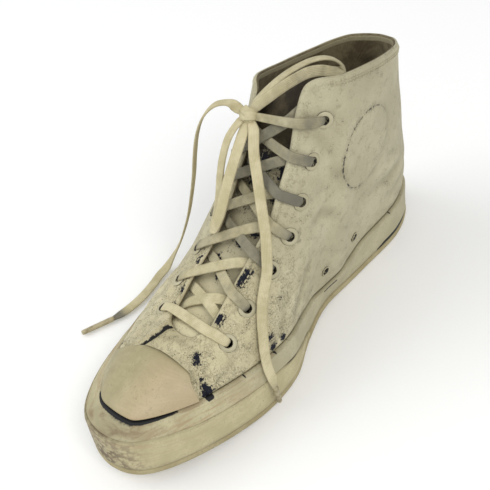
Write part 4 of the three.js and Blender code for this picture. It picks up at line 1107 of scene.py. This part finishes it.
# Painted shade in the crevice where the strip's top meets the foxing, stronger at its ends.
crevice_shade = np.interp(s_run, (6.0, 6.3, 7.3, 7.6, 9.2, 12, 20), (0.5, 1.2, 1.2, 0.4, 0.3, 0.6, 0.5))[:, None]
values = {
    "pebble": pebbled * np.clip(1.5 - level, 0, 1),
    "scuff": np.interp(s_run, (9, 12, 13, 15, 17), (0.15, 0.5, 0.9, 0.9, 0.3))[:, None] * (0.4 + 0.6 * level),
    "grime_and_shade": np.clip(0.7 * bell(level - 0.02, 0.05) + crevice_shade * bell(level - 1, 0.05)
                     + 0.36 * bell(s_run - 13.9, 1.4)[:, None], 0, 1),
}
piece("bumper_strip", section, grid(*section.shape[:2], wrap_columns=True),
      [surface_material("bumper_rubber", bumper_look)], ["toe_bumper"], values,
      strip_map(s_run, STRIP_MAP_HEIGHT * level))


# Toe cap: a thin smooth rubber dome cemented over the vamp, from the foxing's top to its own rear
# edge, which lies further forward on the outer side. Its rim is thinned out.
CAP_ENDS = (9.62, 16.38)
CAP_REAR = 222.6
CAP_THICK = 1.7
CAP_MAP_HEIGHT = 40


def cap_look(tree, place):
    """Smooth rubber, olive cream and mottled, pinkish on the inner side, with fine curved scratches, and
    darker along its foot and rear edge with dirt and painted shade.
    """
    wear = rubber_wear(tree)
    base = mix(tree, wear["Yellowing"], colour("948c67"), colour("a49c76"))
    mottled = remap(tree, noise(tree, place, 260, 4, 0.65), 0.4, 0.64, 0, 0.35)
    base = mix(tree, mottled, base, colour("8d8461"))
    pink = times(tree, attribute(tree, "scuff"), remap(tree, wear["Scuff"], 0, 1, 0.75, 1))
    base = stained(tree, base, pink, 0.8, "bfa98a")
    base = stained(tree, base, wear["Dirt"], 0.5, "6f6447")
    # Dirt and painted shade along the cap's foot and rear edge.
    base = stained(tree, base, attribute(tree, "grime_and_shade"), 0.8, "4d432f")
    return {"Base Color": base, "Roughness": 0.5, "Normal": bump(tree, wear["Height"], 0.25, 0.0004),
            "Specular IOR Level": 0.45}


cap_stations = np.linspace(*CAP_ENDS, 150)
try_shares = np.linspace(FOXING_SHARE, 1, 900)
tried = wall(cap_stations[:, None], try_shares)
rear = CAP_REAR + 0.3 * np.clip(-tried[..., 1] - 8, 0, 30)
cap_top = try_shares[np.maximum((tried[..., 0] > rear).sum(1) - 1, 0)]
cap_end = np.minimum(cap_stations - cap_stations[0], cap_stations[-1] - cap_stations)
rounded = np.clip(cap_end / 0.28, 0.01, 1) ** 0.4
cap_top = FOXING_SHARE + np.maximum((cap_top - FOXING_SHARE) * rounded, 0.025)
steps = np.linspace(0, 1, 44)
v_cap = (FOXING_SHARE + 0.012) + (cap_top - FOXING_SHARE - 0.012)[:, None] * steps
thick = CAP_THICK * np.clip((1 - steps) / 0.06, 0, 1) ** 0.5 * np.clip(steps / 0.03 + 0.5, 0, 1)
dome = on_wall(cap_stations[:, None], v_cap, GAP + thick)
under = on_wall(cap_stations[:, None], v_cap, GAP)
loops = np.concatenate([dome, under[:, ::-1]], 1)
inner_side = ramp(dome[..., 1], -2, 14) * ramp(dome[..., 0], 222, 230)
# Dirt and painted shade: darker along the rear edge and along the foot where the cap meets the foxing.
edge_shade_and_dirt = 0.55 * bell(1 - steps, 0.03) + 0.7 * bell(steps, 0.02)
edge_shade_and_dirt = np.broadcast_to(edge_shade_and_dirt, dome.shape[:2])
values = {"scuff": np.concatenate([0.15 + 0.7 * inner_side, 0 * inner_side], 1),
          "grime_and_shade": np.concatenate([edge_shade_and_dirt, 0 * edge_shade_and_dirt], 1)}
cap_map = strip_map(cap_stations, CAP_MAP_HEIGHT * np.broadcast_to(steps, v_cap.shape))
piece("cap_dome", loops, grid(*loops.shape[:2], wrap_columns=True),
      [surface_material("cap_rubber", cap_look)], ["toe_cap"], values,
      np.concatenate([cap_map, cap_map[:, ::-1]], 1))


# Eyelets: rolled metal rings painted over with the canvas, worn dark on their inner edges and painted dark
# down the barrel as shade in the hole, each with a barrel through the wall and a splayed back. The two vents
# are smaller.
EYELET_RADIUS, EYELET_BORE = 4.8, 2.4
VENT_RADIUS, VENT_BORE = 3.1, 2.2
RING_SIDES = 32


def eyelet_look(tree, place):
    """Chipped cream paint on dulled metal, painted dark down the barrel as shade."""
    chips = noise(tree, place, 900, 4, 0.65)
    base = two_tone(tree, noise(tree, place, 60, 3), 0.35, 0.65, "a49d80", "b2ab8e")
    chipped = times(tree, minus(tree, chips, 0.5), 1.2)
    worn_and_shade = plus(tree, attribute(tree, "worn_and_shade"), chipped)
    # Dark where the paint is worn, and painted shade down the barrel inside the hole.
    base = mix(tree, remap(tree, worn_and_shade, 0.55, 0.7), base, colour("2a2822"))
    return {"Base Color": base, "Roughness": 0.55, "Normal": bump(tree, chips, 0.35, 0.0003)}


def rings(seats, outer_radius, bore):
    """Lathe-turned eyelets at rows of station and share: profile of radius and height turned round
    the wall's normal."""
    tube = np.array([
        (bore, 0.5), (bore + 0.3, 0.85), (bore + 0.8, 0.95), ((bore + outer_radius) / 2 + 0.3, 0.85),
        (outer_radius - 0.35, 0.6), (outer_radius, 0.25), (outer_radius - 0.1, 0.02), (3.0, 0.0), (2.9, -3.0),
        (4.1, -3.1), (3.9, -3.4), (2.8, -3.4), (bore, -3.1), (bore, -1.0),
    ])
    # How dark each profile point is painted: worn paint at the hole's lip and the rim's outer edge, painted
    # shade down the barrel and on the back.
    worn_and_shade = np.array((0.8, 0.4, 0.15, 0.1, 0.2, 0.85, 0.9, 0.9, 0.9, 0.9, 0.9, 0.9, 1, 1))
    angle = np.linspace(0, 2 * np.pi, RING_SIDES, endpoint=False)
    place = on_wall(seats[:, 0], seats[:, 1], QUARTER_RAISE)
    axis = wall_normal(seats[:, 0], seats[:, 1])
    side = unit(np.cross(axis, (0.3, 0.1, 1.0)))
    other = np.cross(axis, side)
    around = side[:, None] * np.cos(angle)[:, None] + other[:, None] * np.sin(angle)[:, None]
    points = (place[:, None, None] + around[:, :, None] * tube[:, 0][:, None]
              + axis[:, None, None] * tube[:, 1][:, None])
    faces = copies(grid(RING_SIDES, len(tube), True, True), len(seats), RING_SIDES * len(tube))
    return points, faces, np.broadcast_to(worn_and_shade, points.shape[:3])


eyelet_paint = surface_material("eyelet_paint", eyelet_look)
pairs = np.concatenate([EYELETS[:, :2], EYELETS[:, 2:]])
points, faces, worn_and_shade = rings(pairs, EYELET_RADIUS, EYELET_BORE)
names = [f"eyelet_{side}_{i}" for side in ("medial", "lateral") for i in range(1, 8)]
piece("lace_eyelets", points, faces, [eyelet_paint], names, {"worn_and_shade": worn_and_shade})
points, faces, worn_and_shade = rings(VENTS, VENT_RADIUS, VENT_BORE)
names = ["vent_eyelet_1", "vent_eyelet_2"]
piece("vent_eyelets", points, faces, [eyelet_paint], names, {"worn_and_shade": worn_and_shade})


# Lace: one flat woven cotton lace, soiled and grey where it runs through the eyelets, and painted greyer
# as shade on strands that lie in shade. It starts with a bar over the first pair, crosses up the throat,
# and is tied in front of the outer flap.
LACE_WIDTH, LACE_THICK = 5.7, 1.3
LACE_SIDES, SPAN_STEPS, AGLET_SIDES = 16, 12, 20
UNDER_WALL = -3.4
# Shares of the width and the thickness at the stops of a strand that comes up through an eyelet.
DRAWN_IN, BUNCHED = (0.6, 0.72, 0.92, 1, 1, 1), (1.4, 1.3, 1.1, 1, 1, 1)
# Stations at which the throat's edges pass each eyelet.
MEDIAL_EDGE = (8.95, 8.3, 7.6, 7.0, 6.5, 6.05, 5.62)
LATERAL_EDGE = (17.0, 17.7, 18.35, 18.95, 19.45, 19.9, 20.35)


def lace_look(tree, place):
    """Flat woven cotton: fine herringbone and lengthwise cords, cream, with grey and brown soiling, partly
    painted shade, and edges painted darker as shade on their rounded sides."""
    flat = node(tree, "UVMap", uv_map="surface").outputs[0]
    parts = node(tree, "SeparateXYZ", flat)
    across_u, along_v = parts.outputs[0], parts.outputs[1]
    slant = math(tree, "ABSOLUTE", minus(tree, across_u, 0.5))
    phase = plus(tree, along_v, times(tree, slant, 5.0))
    rib = math(tree, "SINE", times(tree, phase, 7.0))
    cords = math(tree, "SINE", times(tree, across_u, 44.0))
    weave = plus(tree, times(tree, rib, 0.5), times(tree, cords, 0.5))
    base = two_tone(tree, noise(tree, place, 120, 5, 0.65), 0.35, 0.66, "bbb18b", "cfc5a1")
    base = mix(tree, remap(tree, weave, -1, 0.3, 0.25, 0), base, colour("6f6549"))
    # Painted shade: darker towards both edges, where the lace's rounded sides turn away.
    base = mix(tree, remap(tree, slant, 0.4, 0.5, 0, 0.3), base, colour("857b5d"))
    cloudy = times(tree, minus(tree, noise(tree, place, 200, 4), 0.5), 0.5)
    # Soil and painted shade: greyer where the strand is dirty or lies in shade.
    soil_and_shade = plus(tree, attribute(tree, "soil_and_shade"), cloudy)
    base = mix(tree, remap(tree, soil_and_shade, 0.2, 1.0, 0, 0.88), base, colour("5b5a52"))
    return {"Base Color": base, "Roughness": 0.9, "Normal": bump(tree, weave, 0.4, 0.00035)}


lace_cotton = surface_material("lace_cotton", lace_look)


def ribbon(path, up, wide, thick):
    """Flat lace along a path: an oval section of the given widths and thicknesses, its flat face
    turned to the up directions. Returns points, faces, uv."""
    run = unit(np.gradient(path, axis=0))
    side = unit(np.cross(run, up))
    face_up = np.cross(side, run)
    angle = np.linspace(0, 2 * np.pi, LACE_SIDES, endpoint=False)
    u = np.sign(np.cos(angle)) * np.abs(np.cos(angle)) ** 0.6
    h = np.sign(np.sin(angle)) * np.abs(np.sin(angle)) ** 0.6
    points = (path[:, None] + side[:, None] * (u * wide[:, None] / 2)[..., None]
              + face_up[:, None] * (h * thick[:, None] / 2)[..., None])
    uv = np.stack(np.broadcast_arrays((u + 1) / 2, travelled(path)[:, None]), -1)
    ends = np.repeat(path[[0, -1]][:, None], LACE_SIDES, 1)
    points = np.concatenate([ends[:1], points, ends[1:]])
    uv = np.concatenate([uv[:1], uv, uv[-1:]])
    return points, grid(len(points), LACE_SIDES, wrap_columns=True), uv


def lace_piece(name, strands, nodes):
    """Several strands as one piece; each is stops of point and up, with widths, thicknesses, and greyness
    from soil and painted shade.
    """
    points, faces, uvs, soils, base = [], [], [], [], 0
    for stops, ups, wide, thick, soil_and_shade in strands:
        stops = np.asarray(stops, float)
        t = np.linspace(0, 1, SPAN_STEPS * (len(stops) - 1) + 1)
        at = np.linspace(0, 1, len(stops))
        path = smooth_path(stops, t)
        up = unit(np.stack([np.interp(t, at, np.asarray(ups)[:, i]) for i in range(3)], 1))
        widths = LACE_WIDTH * np.interp(t, at, wide)
        p, f, uv = ribbon(path, up, widths, LACE_THICK * np.interp(t, at, thick))
        shade = np.interp(t, at, soil_and_shade)
        shade = np.concatenate([shade[:1], shade, shade[-1:]])
        points.append(p.reshape(-1, 3))
        faces.append(f + base)
        uvs.append(uv.reshape(-1, 2))
        soils.append(np.repeat(shade, LACE_SIDES))
        base += len(p) * LACE_SIDES
    return piece(name, np.concatenate(points), np.concatenate(faces), [lace_cotton], nodes,
                 {"soil_and_shade": np.concatenate(soils)}, np.concatenate(uvs))


# By side: first column of its eyelets, stations along its throat edge, the way in, and the edge's reach.
SIDES = {
    "medial": (0, MEDIAL_EDGE, -1.0, (5.3, 9.2)),
    "lateral": (2, LATERAL_EDGE, 1.0, (16.8, 20.7)),
}


def eyelet(side, k):
    """Station and share of an eyelet, counted from the toe."""
    first = SIDES[side][0]
    return EYELETS[k, first:first + 2]


def out_of_eyelet(side, k, edge_station):
    """Stops of a strand that comes up through an eyelet and runs straight over the quarter to the throat:
    points of the chord from the eyelet to the edge, each lifted clear of the wall along its normal."""
    s, v = eyelet(side, k)
    way = np.array((0, 0, 0.16, 0.42, 0.72, 1.0))
    lift = np.array((-3.0, -0.5, 1.3, 1.7, 1.75, 1.7)) + QUARTER_RAISE
    at_s, at_v = s + (edge_station - s) * way, v + (1 - v) * way
    face, normals = on_wall(at_s, at_v, 0 * way), wall_normal(at_s, at_v)
    chord = face[0] + (face[-1] - face[0]) * way[:, None]
    bulge = np.maximum(((face - chord) * normals).sum(1), 0)
    stops = chord + normals * (lift + bulge)[:, None]
    run = unit(face[-1] - face[0])
    normals[0] = -run
    normals[1] = unit(normals[2] - run)
    return stops, normals


def under_edge(side, k, share):
    """Stops of a strand that runs in under the throat's edge to the back of an eyelet."""
    edge, inward = SIDES[side][1:3]
    station = edge[k] + (edge[k + 1] - edge[k]) * share
    s, v = eyelet(side, k + 1)
    hang = on_wall(station, 1.0, -0.8) + np.array((0, 4.8 * inward, 0))
    tuck = on_wall((station * 0.55 + s * 0.45, s), (0.45 * v + 0.55, v), UNDER_WALL)
    stops = np.concatenate([[hang], tuck])
    return stops, wall_normal(np.array((station, station, s)), np.array((1.0, 0.95, v)))


def taut_edge(side, start, end):
    """Station at which a taut strand from start to end passes over one side's throat edge: the shortest
    way over it."""
    near = np.linspace(*SIDES[side][3], 400)
    edge_points = on_wall(near, np.ones_like(near), QUARTER_RAISE)
    way = np.linalg.norm(edge_points - start, axis=1) + np.linalg.norm(edge_points - end, axis=1)
    return near[way.argmin()]


def eyelet_place(side, k):
    """Middle of an eyelet on the painted face."""
    return on_wall(*eyelet(side, k), QUARTER_RAISE)


first_pair = eyelet_place("lateral", 0), eyelet_place("medial", 0)
left, left_up = out_of_eyelet("lateral", 0, taut_edge("lateral", *first_pair))
right, right_up = out_of_eyelet("medial", 0, taut_edge("medial", *first_pair))
lace_piece("lace_bar_ribbon", [(
    np.concatenate([left, right[::-1]]), np.concatenate([left_up, right_up[::-1]]),
    DRAWN_IN + DRAWN_IN[::-1], BUNCHED + BUNCHED[::-1],
    (1, 0.7, 0.3, 0.1, 0, 0, 0, 0, 0.05, 0.15, 0.5, 1))], ["lace_bar"])

# How grey the strands of the second to the sixth crossing are, by the side that they start from: soil, and
# painted shade on the outer side's upper strands.
STRAND_SOIL_AND_SHADE = {"medial": (0.5, 0.8, 0.55, 0.95, 0.7), "lateral": (0.4, 0.5, 0.6, 0.85, 0.9)}
for k in range(6):
    strands = []
    for near_side, far_side in (("medial", "lateral"), ("lateral", "medial")):
        end, end_up = under_edge(far_side, k, 0.8)
        if k == 0:
            hang, hang_up = under_edge(near_side, 0, 0.4)
            inside = on_wall(eyelet(near_side, 0)[0], 0.9, UNDER_WALL)
            begin, begin_up = np.stack([inside, hang[0]]), np.repeat(hang_up[:1], 2, 0)
            wide, thick, soil_and_shade = (0.8, 1, 1, 0.9, 0.7), (1, 1, 1, 1, 1.2), (0.6, 0.3, 0.3, 0.5, 1)
        else:
            edge_station = taut_edge(near_side, eyelet_place(near_side, k), eyelet_place(far_side, k + 1))
            begin, begin_up = out_of_eyelet(near_side, k, edge_station)
            grey = STRAND_SOIL_AND_SHADE[near_side][k - 1]
            wide, thick = DRAWN_IN + (1, 0.9, 0.65), BUNCHED + (1, 1, 1.3)
            soil_and_shade = (1, 1, 0.2 + grey, 0.1 + grey, grey, grey, 0.9 * grey, 0.7, 1)
        strands.append((np.concatenate([begin, end]), np.concatenate([begin_up, end_up]), wide, thick, soil_and_shade))
    lace_piece(f"lace_crossing_ribbon_{k + 1}", strands, [f"lace_crossing_{k + 1}"])

# The knot is three turns of lace drawn up in a lump, where the strands from the top eyelets meet.
# A turn has its axis, its radius and how much longer it is than wide.
KNOT = np.array((126.0, -10.0, 133.5))
KNOT_TURNS = (
    ((-0.45, -0.3, 0.84), 4.0, 1.3), ((-0.84, 0.36, 0.41), 4.1, 1.2), ((0.2, -0.75, 0.63), 3.6, 1.35),
)
turn = np.linspace(0, 2 * np.pi, 12, endpoint=False)
strands = []
for axis, radius, lengthen in KNOT_TURNS:
    axis = unit(np.array(axis, float))
    first = unit(np.cross(axis, (0.1, 0.3, 1.0)))
    second = np.cross(axis, first)
    spoke = first * np.cos(turn)[:, None] + lengthen * second * np.sin(turn)[:, None]
    closed = np.concatenate([spoke, spoke[:2]])
    full = np.ones(len(closed))
    strands.append((KNOT + radius * closed, closed, 0.85 * full, 1.1 * full, 0.3 * full))
for side in ("medial", "lateral"):
    begin, begin_up = out_of_eyelet(side, 6, taut_edge(side, eyelet_place(side, 6), KNOT))
    strands.append((np.concatenate([begin, [KNOT]]), np.concatenate([begin_up, begin_up[-1:]]),
                    DRAWN_IN[:5] + (0.95, 0.7), BUNCHED + (1.2,), (1, 0.9, 0.75, 0.7, 0.7, 0.6, 0.45)))
knot = lace_piece("lace_knot_ribbon", strands, ["lace_knot"])

# One short loop hangs from the knot and one lies back over the tongue. Of the two free ends one falls
# outside to the floor and one lies down the inner side to the foxing, each drawn into a hard tip.
LOOP_ROUTE = [
    (128.2, -11.8, 132.3), (130.4, -13, 130.8), (138, -14, 126), (144, -14.5, 116), (148.5, -14, 105),
    (152, -13, 95.5), (157, -11.5, 88), (161.5, -10, 84.5), (165, -7, 87), (162, -5, 94), (156, -5.5, 102),
    (149.5, -6.5, 110), (142, -7, 119.5), (135, -8, 126.5), (131, -8.8, 129.2), (128.6, -9.6, 131.6),
]
UPPER_LOOP_ROUTE = [
    (124.6, -9.2, 136.2), (122.6, -8, 139.4), (118.5, -5.9, 143.4), (113, -2.4, 148), (107, 1.3, 151.7),
    (101, 5, 154.1), (95.5, 8.3, 155.2), (91, 12.2, 155.4), (87, 15.9, 153.4), (85, 18.7, 150.2),
    (86.5, 20.1, 148.2), (91.5, 18.3, 149.8), (97.5, 15.1, 152.6), (103.5, 11.5, 153.4),
    (109.5, 7.9, 151.8), (115.5, 3.8, 148.8), (120.5, -0.6, 144.6), (123.6, -4, 141.4),
    (124.8, -5.4, 139.8), (125.2, -7.6, 136.8),
]
LATERAL_ROUTE = [
    (126.2, -12.8, 134.3), (126.6, -16.2, 135.8), (128.2, -20, 138.4), (131, -25, 138), (133, -30, 134),
    (135, -35, 126), (136, -39, 115), (136.5, -42, 102), (137, -45, 86), (138, -48.5, 70), (139, -52, 56),
    (140, -57, 41), (141, -63, 26), (143, -69, 13), (147, -72.5, 4.5), (154, -73, 2.4), (163, -71, 2.4),
    (174, -69.5, 2.4), (184, -69.5, 2.4), (192, -70.5, 2.4), (198, -72.1, 2.4),
]
MEDIAL_ROUTE = [
    (128, -7, 132), (130.6, -3.6, 129.6), (136, 0, 121), (143, 7, 111.5), (150.5, 14.5, 101.5),
    (158.3, 22.4, 91.6), (163.2, 26.2, 85.2), (167.8, 29.5, 78.9), (173, 31, 71), (177, 32.5, 65.6),
    (181.6, 35.2, 58.2), (185, 38, 52), (188.4, 41, 43.5), (190.8, 44.2, 36), (191.8, 47.6, 29.5),
    (191.6, 49, 22),
]


def free_lace(name, node_name, route, ups, soil_and_shade, far_end):
    """A free length of lace along its route. ups and soil give the flat face's direction and how grey it is
    at shares of the route."""
    stops = np.array(route, float)
    share = np.linspace(0, 1, len(stops))
    ups = np.array(ups, float)
    turned = np.stack([np.interp(share, ups[:, 0], ups[:, i]) for i in (1, 2, 3)], 1)
    full = np.ones(len(stops))
    narrow = np.interp(share, (0, 0.04, 0.94, 1), (0.7, 1, 1, 0.5 if far_end == "fitting" else 0.8))
    soiled = np.interp(share, *np.array(soil_and_shade, float).T)
    made = lace_piece(name, [(stops, turned, narrow, full, soiled)], [node_name])


def aglet_look(tree, place):
    """Dulled plastic over the lace's tip."""
    base = two_tone(tree, noise(tree, place, 300, 4), 0.4, 0.65, "a79d7c", "837858")
    return {"Base Color": base, "Roughness": 0.45}


def aglet(name, start, end, node_name):
    """A slim tube with rounded ends, from the lace to its tip."""
    start, end = np.array(start, float), np.array(end, float)
    run = unit(end - start)
    side = unit(np.cross(run, (0.2, 0.1, 1.0)))
    other = np.cross(run, side)
    at = np.array((-2.0, -2.0, -1.2, 0, 0.15, 0.5, 0.93, 0.985, 1, 1))
    along = np.where(at < 0.1, at, at * np.linalg.norm(end - start))
    radius = np.array((0, 1.2, 1.5, 1.62, 1.6, 1.55, 1.5, 1.3, 0.9, 0))
    angle = np.linspace(0, 2 * np.pi, AGLET_SIDES, endpoint=False)
    spoke = side * np.cos(angle)[:, None] + other * np.sin(angle)[:, None]
    points = start + run * along[:, None, None] + spoke * radius[:, None, None]
    faces = grid(len(at), AGLET_SIDES, wrap_columns=True)
    return piece(name, points, faces, [aglet_plastic], [node_name])


aglet_plastic = surface_material("aglet_plastic", aglet_look)
tip_lateral = aglet("lace_tip_lateral", (198.4, -72.3, 2.4), (216, -79.5, 2.4), "aglet_lateral")
tip_medial = aglet("lace_tip_medial", (191.5, 49.1, 21.6), (189.5, 49.3, 8), "aglet_medial")
free_lace("lace_loop_ribbon", "lace_loop", LOOP_ROUTE,
          [(0, 0.7, -0.4, 0.6), (0.45, 0.75, -0.2, 0.6), (0.55, 0.6, 0.4, 0.7), (1, 0.7, 0.2, 0.65)],
          [(0, 0.1), (0.5, 0.25), (1, 0.1)], "object")
free_lace("lace_loop_upper_ribbon", "lace_loop_upper", UPPER_LOOP_ROUTE,
          [(0, 0.3, -0.3, 0.9), (0.3, 0.1, -0.3, 0.95), (0.45, -0.4, 0.1, 0.9), (0.52, -0.5, 0.6, 0.6),
           (0.62, 0.2, 0.9, 0.4), (1, 0.4, 0.6, 0.65)],
          [(0, 0.35), (0.5, 0.5), (1, 0.4)], "object")
free_lace("lace_end_lateral_ribbon", "lace_end_lateral", LATERAL_ROUTE,
          [(0, 0.5, -0.4, 0.75), (0.15, 0.3, -0.75, 0.6), (0.35, 0.35, -0.93, 0.1), (0.58, 0.4, -0.85, 0.3),
           (0.68, 0.2, 0.1, 1), (1, 0, 0, 1)],
          [(0, 0.1), (0.6, 0.1), (0.9, 0.15), (0.955, 1), (1, 0.9)], "fitting")
free_lace("lace_end_medial_ribbon", "lace_end_medial", MEDIAL_ROUTE,
          [(0, 0.6, 0.4, 0.7), (0.3, 0.45, 0.6, 0.65), (0.6, 0.4, 0.65, 0.6), (0.8, 0.35, 0.85, 0.35),
           (1, 0.1, 1, 0.1)],
          [(0, 0.05), (0.9, 0.1), (1, 0.5)], "fitting")
